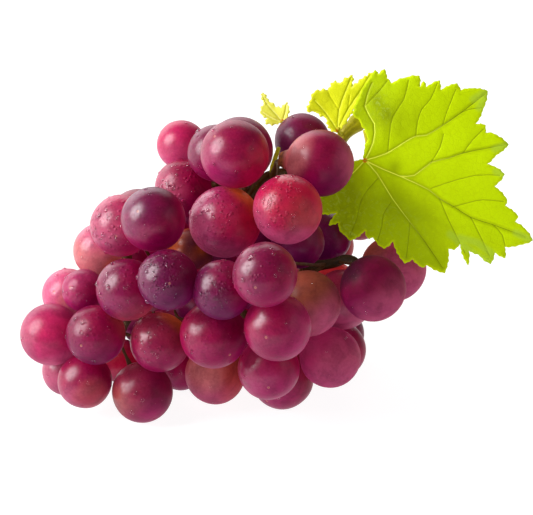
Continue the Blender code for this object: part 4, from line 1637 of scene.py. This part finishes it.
@dataclass
class Stalks:
    """The stalk with its ribs and knuckles, its branches, and the small stalk of each berry."""

    packing: Packing
    dresser: Dresser
    berry_sides: int = 8
    berry_half: float = 0.65
    clear: float = 0.25
    # How much thicker the stalk is at its cut end, and over how many rows.
    cut_flare: float = 0.32
    cut_rows: int = 22
    # Shares of the half thickness, and how far the ribs turn from row to row, in radians.
    rib_height: float = 0.08
    lump_height: float = 0.07
    knuckle: float = 0.16
    rib_turn: float = 0.12
    age_patches: float = 0.20
    # How a berry's own stalk is eased round the others: its spans, the turns, how far off berries count.
    spans: int = 9
    turns: int = 30
    near: float = 34.0
    flare: tuple[float, ...] = (2.1, 1.5, 1.0, 1, 1, 1, 1, 1, 1.1, 1.2)

    def tube(
        self,
        shape: bmesh.types.BMesh,
        rows: Sequence[tuple[Vector, float]],
        sides: int,
        ribs: int,
        ages: tuple[float, float],
    ) -> None:
        """Adds a closed ribbed tube.

        Args:
            shape: the bmesh, with its number layers.
            rows: points in millimetres and half thicknesses.
            sides: how many sides it has.
            ribs: how many ribs run along it.
            ages: 0 for green to 1 for brown, and above 1 painted shade up to 2 for nearly black, where it
                starts and where it ends.
        """
        heap, shape = shape, empty_shape(("rib", "age"))
        rib_layer, age_and_shade_layer = shape.verts.layers.float["rib"], shape.verts.layers.float["age"]
        across, edge, last = None, None, None
        for index, (point, half) in enumerate(rows):
            age = ages[0] + (ages[1] - ages[0]) * smooth(0.0, 0.35, index / len(rows))
            before, after = rows[max(index - 1, 0)][0], rows[min(index + 1, len(rows) - 1)][0]
            along = (after - before).normalized()
            across = along.orthogonal() if across is None else across - along * across.dot(along)
            across.normalize()
            side = along.cross(across)
            if edge is None:
                made = bmesh.ops.create_circle(shape, cap_ends=True, segments=sides, radius=1)
                ring = made["verts"]
            else:
                moved = bmesh.ops.extrude_edge_only(shape, edges=edge)
                fresh = {item for item in moved["geom"] if isinstance(item, bmesh.types.BMVert)}
                ring = [self.partner(vert, fresh) for vert in last]
            for step, vert in enumerate(ring):
                angle = math.tau * step / sides
                rib = 0.5 + 0.5 * math.cos(ribs * angle + self.rib_turn * index)
                lump = noise.noise(point * 0.35 + Vector((math.cos(angle), math.sin(angle), 0)) * 1.2)
                far = half * (0.93 + self.rib_height * rib + self.lump_height * lump)
                vert.co = (point + (across * math.cos(angle) + side * math.sin(angle)) * far) * MM
                vert[rib_layer] = rib
                vert[age_and_shade_layer] = max(age + self.age_patches * lump, 0.0)
            members = set(ring)
            links = [link for vert in ring for link in vert.link_edges if link.other_vert(vert) in members]
            edge = list(dict.fromkeys(links))
            last = ring
        bmesh.ops.contextual_create(shape, geom=edge)
        bmesh.ops.recalc_face_normals(shape, faces=shape.faces)
        add_part(heap, shape)

    @staticmethod
    def partner(vert: bmesh.types.BMVert, fresh: set[bmesh.types.BMVert]) -> bmesh.types.BMVert:
        """The new vertex that an extrusion made from this one."""
        return next(link.other_vert(vert) for link in vert.link_edges if link.other_vert(vert) in fresh)

    def swollen(self, rows: list[tuple[Vector, float]], every: int) -> list[tuple[Vector, float]]:
        """The rows with a knuckle at every so many of them.

        Args:
            rows: points and half thicknesses.
            every: how many rows apart the knuckles are.

        Returns:
            The same points with new half thicknesses.
        """
        return [
            (point, half * (1 + self.knuckle * math.exp(-(((index % every) - every / 2) ** 2) / 1.6)))
            for index, (point, half) in enumerate(rows)
        ]

    def route(self, berry: Berry) -> list[tuple[Vector, float]]:
        """The way from a berry's stalk end to the stalk, round the other berries.

        Args:
            berry: the berry.

        Returns:
            Points in millimetres and half thicknesses.
        """
        start = berry.centre - berry.axis * (berry.radius - 0.25)
        goal, _ = Packing.nearest_on(self.packing.stalk + self.packing.twigs, start)
        points = [start.lerp(goal, step / self.spans) for step in range(self.spans + 1)]
        middle = start.lerp(goal, 0.5)
        near = [other for other in self.packing.berries if (other.centre - middle).length < self.near]
        for _ in range(self.turns):
            for index in range(1, self.spans):
                point = points[index].lerp((points[index - 1] + points[index + 1]) / 2, 0.4)
                for other in near:
                    gap = point - other.centre
                    short = other.radius + self.berry_half + self.clear - gap.length
                    if short > 0 and gap.length > 1e-6:
                        point = point + gap.normalized() * short
                points[index] = point
        return [(point, self.berry_half * wide) for point, wide in zip(points, self.flare)]

    def build(self, bark: bpy.types.Material) -> None:
        """Makes the two pieces: the stalk, and the small stalks of the berries.

        Args:
            bark: their material.
        """
        shape = empty_shape(("rib", "age"))
        flared = [
            (point, half * (1 + self.cut_flare * (1 - smooth(0, self.cut_rows, index))))
            for index, (point, half) in enumerate(smooth_route(STALK, 8))
        ]
        self.tube(shape, self.swollen(flared, 17), sides=24, ribs=9, ages=(0.0, 1.0))
        for name, route in BRANCHES.items():
            age = BRANCH_AGES_AND_SHADE[name]
            self.tube(shape, self.swollen(smooth_route(route, 6), 13), sides=16, ribs=6, ages=(age, age))
        for route, age in TWIGS:
            self.tube(shape, self.swollen(smooth_route(route, 5), 9), sides=12, ribs=4, ages=(age, age))
        self.dresser.piece("stalk", shape, bark, "stem", "stem")
        shape = empty_shape(("rib", "age"))
        for berry in self.packing.berries:
            if berry.name not in SHORT_STALKS:
                self.tube(shape, self.route(berry), self.berry_sides, ribs=3, ages=(1.0, 1.0))
        self.dresser.piece("berry_stalks", shape, bark, "stem")


@dataclass
class Leaf:
    """One leaf: its blade from an outline, quilted between its veins, and its own stalk."""

    node: str
    piece_name: str
    hub: tuple[float, float, float]
    outline: list[tuple[float, float]]
    veins: list[list[tuple[float, float]]]
    side_veins: list[list[tuple[float, float]]]
    petiole: list[tuple[float, ...]]
    finish: LeafFinish
    cell: float
    quilt: float
    folds: list[list[tuple[float, float]]] = field(default_factory=list)
    round_teeth: float = 0.07
    nick: float = 0.22

    # How far the middle of the sheet lies behind the front of the solid leaf.
    behind: float = 0.24
    # Small dark places on the large leaf, across and up from its hub.
    spots: tuple[tuple[float, float], ...] = ((5.0, 24.0), (8.5, 19.0), (12.0, -3.0))

    def __post_init__(self) -> None:
        """Rounds the veins."""
        self.veins = [smooth_line(line) for line in self.veins]
        self.side_veins = [smooth_line(line) for line in self.side_veins]

    def borders(self) -> Iterable[tuple]:
        """The sides of the outline, each as its two corners."""
        return zip(self.outline, self.outline[1:] + self.outline[:1])

    def inside(self, across: float, up: float) -> bool:
        """Whether a point lies within the outline.

        Args:
            across: how far right of the hub the point is.
            up: how far above the hub it is.

        Returns:
            True where it does.
        """
        crossed = False
        for (x1, y1), (x2, y2) in self.borders():
            if (y1 > up) != (y2 > up) and across < x1 + (up - y1) * (x2 - x1) / (y2 - y1):
                crossed = not crossed
        return crossed

    @staticmethod
    def distance(across: float, up: float, lines: Iterable[Sequence[tuple[float, float]]]) -> float:
        """Distance from a point to the nearest of some lines of points.

        Args:
            across: how far right of the hub the point is.
            up: how far above the hub it is.
            lines: the lines.

        Returns:
            The distance in millimetres, or 99 where there are no lines.
        """
        best = 99.0
        for line in lines:
            for (x1, y1), (x2, y2) in zip(line, line[1:]):
                dx, dy = x2 - x1, y2 - y1
                share = min(max(((across - x1) * dx + (up - y1) * dy) / (dx * dx + dy * dy), 0.0), 1.0)
                best = min(best, math.hypot(across - x1 - share * dx, up - y1 - share * dy))
        return best

    def rim_points(self) -> list[Vector]:
        """The outline with points between its corners, its sides rounded and nicked.

        Returns:
            The points in order round the leaf.
        """
        turning = sum(x1 * y2 - x2 * y1 for (x1, y1), (x2, y2) in self.borders())
        out = 1 if turning < 0 else -1
        made = []
        for number, ((x1, y1), (x2, y2)) in enumerate(self.borders()):
            length = math.dist((x1, y1), (x2, y2))
            count = max(1, round(length / self.cell * 1.4))
            nicks = max(1, round(length / 2.6))
            side = Vector((-(y2 - y1), x2 - x1)).normalized() * out
            for i in range(count):
                share = i / count
                arch = math.sin(math.pi * share)
                swell = self.round_teeth * length * arch
                nick = self.nick * arch * math.sin(math.tau * share * nicks + number)
                spot = Vector((x1 + (x2 - x1) * share, y1 + (y2 - y1) * share))
                made.append(spot + side * (swell + nick))
        return made

    def vein_points(self, closed: list[list], lines: list[list]) -> list[Vector]:
        """Points along the veins and to both sides of them.

        Args:
            closed: the outline as one closed line.
            lines: the veins.

        Returns:
            The points that lie well within the outline.
        """
        made = []
        for line in lines:
            for (x1, y1), (x2, y2) in zip(line, line[1:]):
                count = max(1, round(math.dist((x1, y1), (x2, y2)) / (0.62 * self.cell)))
                side = Vector((-(y2 - y1), x2 - x1)).normalized()
                for i in range(count + 1):
                    spot = Vector((x1 + (x2 - x1) * i / count, y1 + (y2 - y1) * i / count))
                    for apart in (-0.5, 0.0, 0.5):
                        there = spot + side * apart
                        if self.inside(*there) and self.distance(*there, closed) > 0.4 * self.cell:
                            made.append(there)
        return made

    def field_points(self, closed: list[list], lines: list[list]) -> list[Vector]:
        """Points in rows between the veins.

        Args:
            closed: the outline as one closed line.
            lines: the veins.

        Returns:
            The points that lie clear of the outline and of the veins.
        """
        step = self.cell
        low = [min(point[axis] for point in self.outline) for axis in (0, 1)]
        high = [max(point[axis] for point in self.outline) for axis in (0, 1)]
        made = []
        row, up = 0, low[1] + 0.5 * step
        while up < high[1]:
            across = low[0] + step * (0.5 if row % 2 else 1.0)
            while across < high[0]:
                within = self.inside(across, up) and self.distance(across, up, closed) > 0.45 * step
                if within and self.distance(across, up, lines) > 0.9:
                    made.append(Vector((across, up)))
                across += step
            up += step * math.sqrt(3) / 2
            row += 1
        return made

    def relief(self, across: float, up: float, vein: float, side: float, rim: float) -> float:
        """How far the blade stands above the smooth leaf there.

        Args:
            across: how far right of the hub the point is.
            up: how far above the hub it is.
            vein: its distance from the nearest vein.
            side: its distance from the nearest side vein.
            rim: its distance from the rim.

        Returns:
            The height in millimetres.
        """
        swell = self.quilt * (1 - hump(min(vein, side * 1.3), 2.2))
        groove = -0.30 * hump(vein, 0.55) - 0.15 * hump(side, 0.45)
        wave = 0.45 * ripple(across, up, (0.11, 0.11), 3.0) + 0.16 * ripple(across, up, (0.5, 0.5), 7.0)
        curl = -0.55 * (1 - smooth(0.0, 2.6, rim)) * (0.5 + ripple(across, up, (0.23, 0.23), 9.0))
        creased = 0.0
        if self.node == "leaf_large":
            creased = 0.9 * ripple(across, up, (0.45, 0.85), 5.0)
            creased *= smooth(4.0, -8.0, across)
            creased *= smooth(-2.0, -12.0, up)
        return self.quilt / 0.5 * (swell + groove + wave + curl + creased)

    def shade_at(self, across: float, up: float) -> float:
        """How dark the blade is there, most of it painted shade: on the large leaf darker low down, to the
        left, near the upper middle and at a few spots, and painted light on its lower right; on the small
        leaves darker away from the hub, in patches.

        Args:
            across: how far right of the hub the point is.
            up: how far above the hub it is.

        Returns:
            1 for the deepest painted shade. It falls below 0 where painted light makes the large leaf palest.
        """
        if self.node != "leaf_large":
            patches = 0.5 + 0.5 * ripple(across, up, (0.3, 0.3), 1.0)
            return 0.25 * smooth(0, 16, math.hypot(across, up)) * patches
        low = smooth(6, -16, up + 0.42 * across) * (0.72 - 0.42 * smooth(12, 44, across))
        left = smooth(0.0, -12.0, across) * 0.55
        top = 0.62 * smooth(26.0, 2.0, abs(across - 2.0)) * smooth(0.0, 16.0, up)
        spots = sum(
            0.45 * math.exp(-(((across - x) / 2.2) ** 2 + ((up - y) / 3.0) ** 2))
            for x, y in self.spots
        )
        bright = -0.55 * smooth(20.0, 46.0, across) * smooth(-34.0, 0.0, up)
        return min(low + left + top + spots + bright, 1.0)

    def build(self, dresser: Dresser, stalks: Stalks, bark: bpy.types.Material) -> None:
        """Makes the blade and its stalk.

        Args:
            dresser: makes the pieces.
            stalks: gives the tube of the leaf's stalk.
            bark: the stalk's material.
        """
        closed = [[*self.outline, self.outline[0]]]
        lines = self.veins + self.side_veins
        edge = self.rim_points()
        flat = edge + self.vein_points(closed, lines) + self.field_points(closed, lines)
        edge_line = [[tuple(point) for point in (*edge, edge[0])]]
        edges = [(step, (step + 1) % len(edge)) for step in range(len(edge))]
        points, _, faces, *_ = geometry.delaunay_2d_cdt(flat, edges, [], 1, 1e-6)
        names = ("vein", "side", "rim", "hub", "shade", "fold")
        shape = empty_shape(names)
        layers = {name: shape.verts.layers.float[name] for name in names}
        front = []
        for across, up in points:
            values = {
                "vein": self.distance(across, up, self.veins),
                "side": self.distance(across, up, self.side_veins),
                "rim": self.distance(across, up, edge_line),
                "hub": math.hypot(across, up),
                "shade": self.shade_at(across, up),
                "fold": self.distance(across, up, self.folds),
            }
            depth = self.hub[2] + leaf_depth(self.node, across, up) - self.behind
            depth += self.relief(across, up, values["vein"], values["side"], values["rim"])
            vert = shape.verts.new(place(self.hub[0] + across, self.hub[1] + up, depth) * MM)
            for name, layer in layers.items():
                vert[layer] = values[name]
            front.append(vert)
        for corners in faces:
            shape.faces.new([front[corner] for corner in corners])
        bmesh.ops.recalc_face_normals(shape, faces=shape.faces)
        towards = sum((face.normal * face.calc_area() for face in shape.faces), Vector())
        if towards.dot(NEAR) < 0:
            bmesh.ops.reverse_faces(shape, faces=shape.faces)
        bmesh.ops.solidify(shape, geom=shape.faces[:], thickness=LEAF_SHEET * MM)
        bmesh.ops.recalc_face_normals(shape, faces=shape.faces)
        dresser.piece(self.piece_name, shape, self.finish.material(), self.node, self.node)
        shape = empty_shape(("rib", "age"))
        stalks.tube(shape, smooth_route(self.petiole, 5), sides=14, ribs=5, ages=(0.0, 0.0))
        dresser.piece(self.piece_name + "_stalk", shape, bark, "stem", self.node)


@dataclass(frozen=True)
class Lamp:
    """One soft light: the way it stands in from the bunch, its distance and size in metres, and its watts."""

    name: str
    way: tuple[float, float, float]
    far: float
    size: tuple[float, float]
    power: float
    colour: tuple[float, float, float] = (1.0, 1.0, 1.0)
    shape: str = "RECTANGLE"
    shadow: bool = True


@dataclass
class Studio:
    """The camera, the pale floor and the soft lights."""

    dresser: Dresser
    picture_width: float = 213.2
    picture_middle: tuple[float, float] = (17.6, 66.3)
    camera_far: float = 6.0
    lamps: tuple[Lamp, ...] = (
        Lamp("window", (-0.85, -0.12, 0.51), 1.1, (0.80, 0.98), 20.5, shape="ELLIPSE"),
        Lamp("fill", (-0.85, -0.12, 0.51), 1.1, (0.80, 0.98), 7.0, shadow=False),
        Lamp("back", (-0.25, 0.90, 0.36), 1.3, (2.2, 0.9), 14.0),
        Lamp("left", (-0.93, 0.36, 0.10), 1.4, (0.9, 0.8), 1.8, (0.86, 0.94, 1.0)),
        Lamp("right", (0.96, -0.21, 0.22), 1.3, (1.2, 1.2), 5.0, (0.96, 0.92, 1.0)),
    )

    def camera(self) -> None:
        """Makes the camera that sees the bunch as it was measured."""
        data = bpy.data.cameras.new("camera")
        data.type = "PERSP"
        data.sensor_fit = "HORIZONTAL"
        data.sensor_width = 36.0
        data.lens = 36.0 * self.camera_far / (self.picture_width * MM)
        data.clip_start, data.clip_end = 0.1, 60.0
        made = bpy.data.objects.new("camera", data)
        bpy.context.scene.collection.objects.link(made)
        target = place(*self.picture_middle, 0.0) * MM + self.dresser.shift
        turn = Matrix((RIGHT, UP, NEAR)).transposed().to_4x4()
        made.matrix_world = Matrix.Translation(target + NEAR * self.camera_far) @ turn
        bpy.context.scene.camera = made

    @staticmethod
    def panel(lamp: Lamp) -> None:
        """Adds one soft light.

        Args:
            lamp: what it is like.
        """
        data = bpy.data.lights.new(lamp.name, "AREA")
        data.shape = lamp.shape
        data.size, data.size_y = lamp.size
        data.energy = lamp.power
        data.color = lamp.colour
        data.use_shadow = lamp.shadow
        made = bpy.data.objects.new(lamp.name, data)
        bpy.context.scene.collection.objects.link(made)
        way = Vector(lamp.way).normalized()
        made.location = way * lamp.far + Vector((0, 0, 0.05))
        made.rotation_euler = way.to_track_quat("Z", "Y").to_euler()
        made.visible_camera = False

    def floor(self) -> None:
        """Makes the pale floor, which glows a little so that it stays near white."""
        shape = bmesh.new()
        bmesh.ops.create_grid(shape, x_segments=1, y_segments=1, size=6.0)
        mesh = bpy.data.meshes.new("floor")
        shape.to_mesh(mesh)
        shape.free()
        surface = Surface("floor")
        mesh.materials.append(surface.finish({
            "Base Color": (0.26, 0.26, 0.26),
            "Roughness": 0.9,
            "Specular IOR Level": 0.0,
            "Emission Color": (1.0, 1.0, 1.0),
            "Emission Strength": 0.90,
        }))
        made = bpy.data.objects.new("floor", mesh)
        bpy.context.scene.collection.objects.link(made)

    def world(self) -> None:
        """Makes the even grey light that fills the shadows."""
        world = bpy.data.worlds.new("studio")
        world.use_nodes = True
        background = world.node_tree.nodes["Background"]
        background.inputs["Color"].default_value = (0.9, 0.93, 1.0, 1)
        background.inputs["Strength"].default_value = 0.12
        bpy.context.scene.world = world

    def build(self) -> None:
        """Makes everything that isn't the bunch."""
        self.camera()
        self.floor()
        self.world()
        for lamp in self.lamps:
            self.panel(lamp)
        view = bpy.context.scene.view_settings
        view.view_transform = "Standard"
        view.look = "None"
        view.exposure = 0.0
        view.gamma = 1.0


def leaves() -> list[Leaf]:
    """The three leaves.

    Returns:
        The large one, the small one and the young one.
    """
    large = LeafFinish(
        "leaf_green", srgb(184, 210, 0), srgb(132, 149, 4), srgb(210, 222, 78), srgb(112, 124, 8),
        srgb(200, 218, 14), 0.30,
    )
    small = LeafFinish(
        "leaf_yellow", srgb(210, 214, 32), srgb(180, 184, 12), srgb(220, 224, 72), srgb(186, 186, 12),
        srgb(238, 238, 80), 0.26,
    )
    young = LeafFinish(
        "leaf_pale", srgb(228, 228, 104), srgb(204, 202, 70), srgb(240, 238, 150), srgb(196, 190, 66),
        srgb(244, 242, 140), 0.34,
    )
    toothed = [corner for point in LARGE_OUTLINE for corner in EXTRA_TEETH.get(point, [point])]
    reached = [(across - 2.2 if across < -12 else across, up) for across, up in toothed]
    return [
        Leaf(
            "leaf_large", "large_leaf", LARGE_HUB, reached, LARGE_VEINS, LARGE_SIDE_VEINS, LARGE_PETIOLE,
            large, cell=0.95, quilt=0.30, folds=PALE_FOLDS,
        ),
        Leaf(
            "leaf_small", "small_leaf", SMALL_HUB, SMALL_OUTLINE, SMALL_VEINS, SMALL_SIDE_VEINS,
            SMALL_PETIOLE, small, cell=0.5, quilt=0.3, nick=0.5,
        ),
        Leaf(
            "leaf_young", "young_leaf", YOUNG_HUB, YOUNG_OUTLINE, YOUNG_VEINS, [], YOUNG_PETIOLE,
            young, cell=0.45, quilt=0.2, nick=0.4,
        ),
    ]


def write_sizes() -> None:
    """Updates the view layer."""
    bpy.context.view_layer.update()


def main() -> None:
    """Builds the bunch and the studio."""
    logging.basicConfig(level=logging.INFO, format="%(message)s")
    dresser = Dresser().settle()
    LOG.info("shift %s", [round(value * 1000, 3) for value in dresser.shift])
    packing = Packing().build()
    LOG.info("%d berries", len(packing.berries))
    skins = Berries(packing, dresser)
    skins.build(SkinFinish().material())
    Drops(packing, dresser, skins).build(WaterFinish().material())
    bark = StalkFinish().material()
    stalks = Stalks(packing, dresser)
    stalks.build(bark)
    for leaf in leaves():
        leaf.build(dresser, stalks, bark)
    Studio(dresser).build()
    write_sizes()


if __name__ == "__main__":
    main()
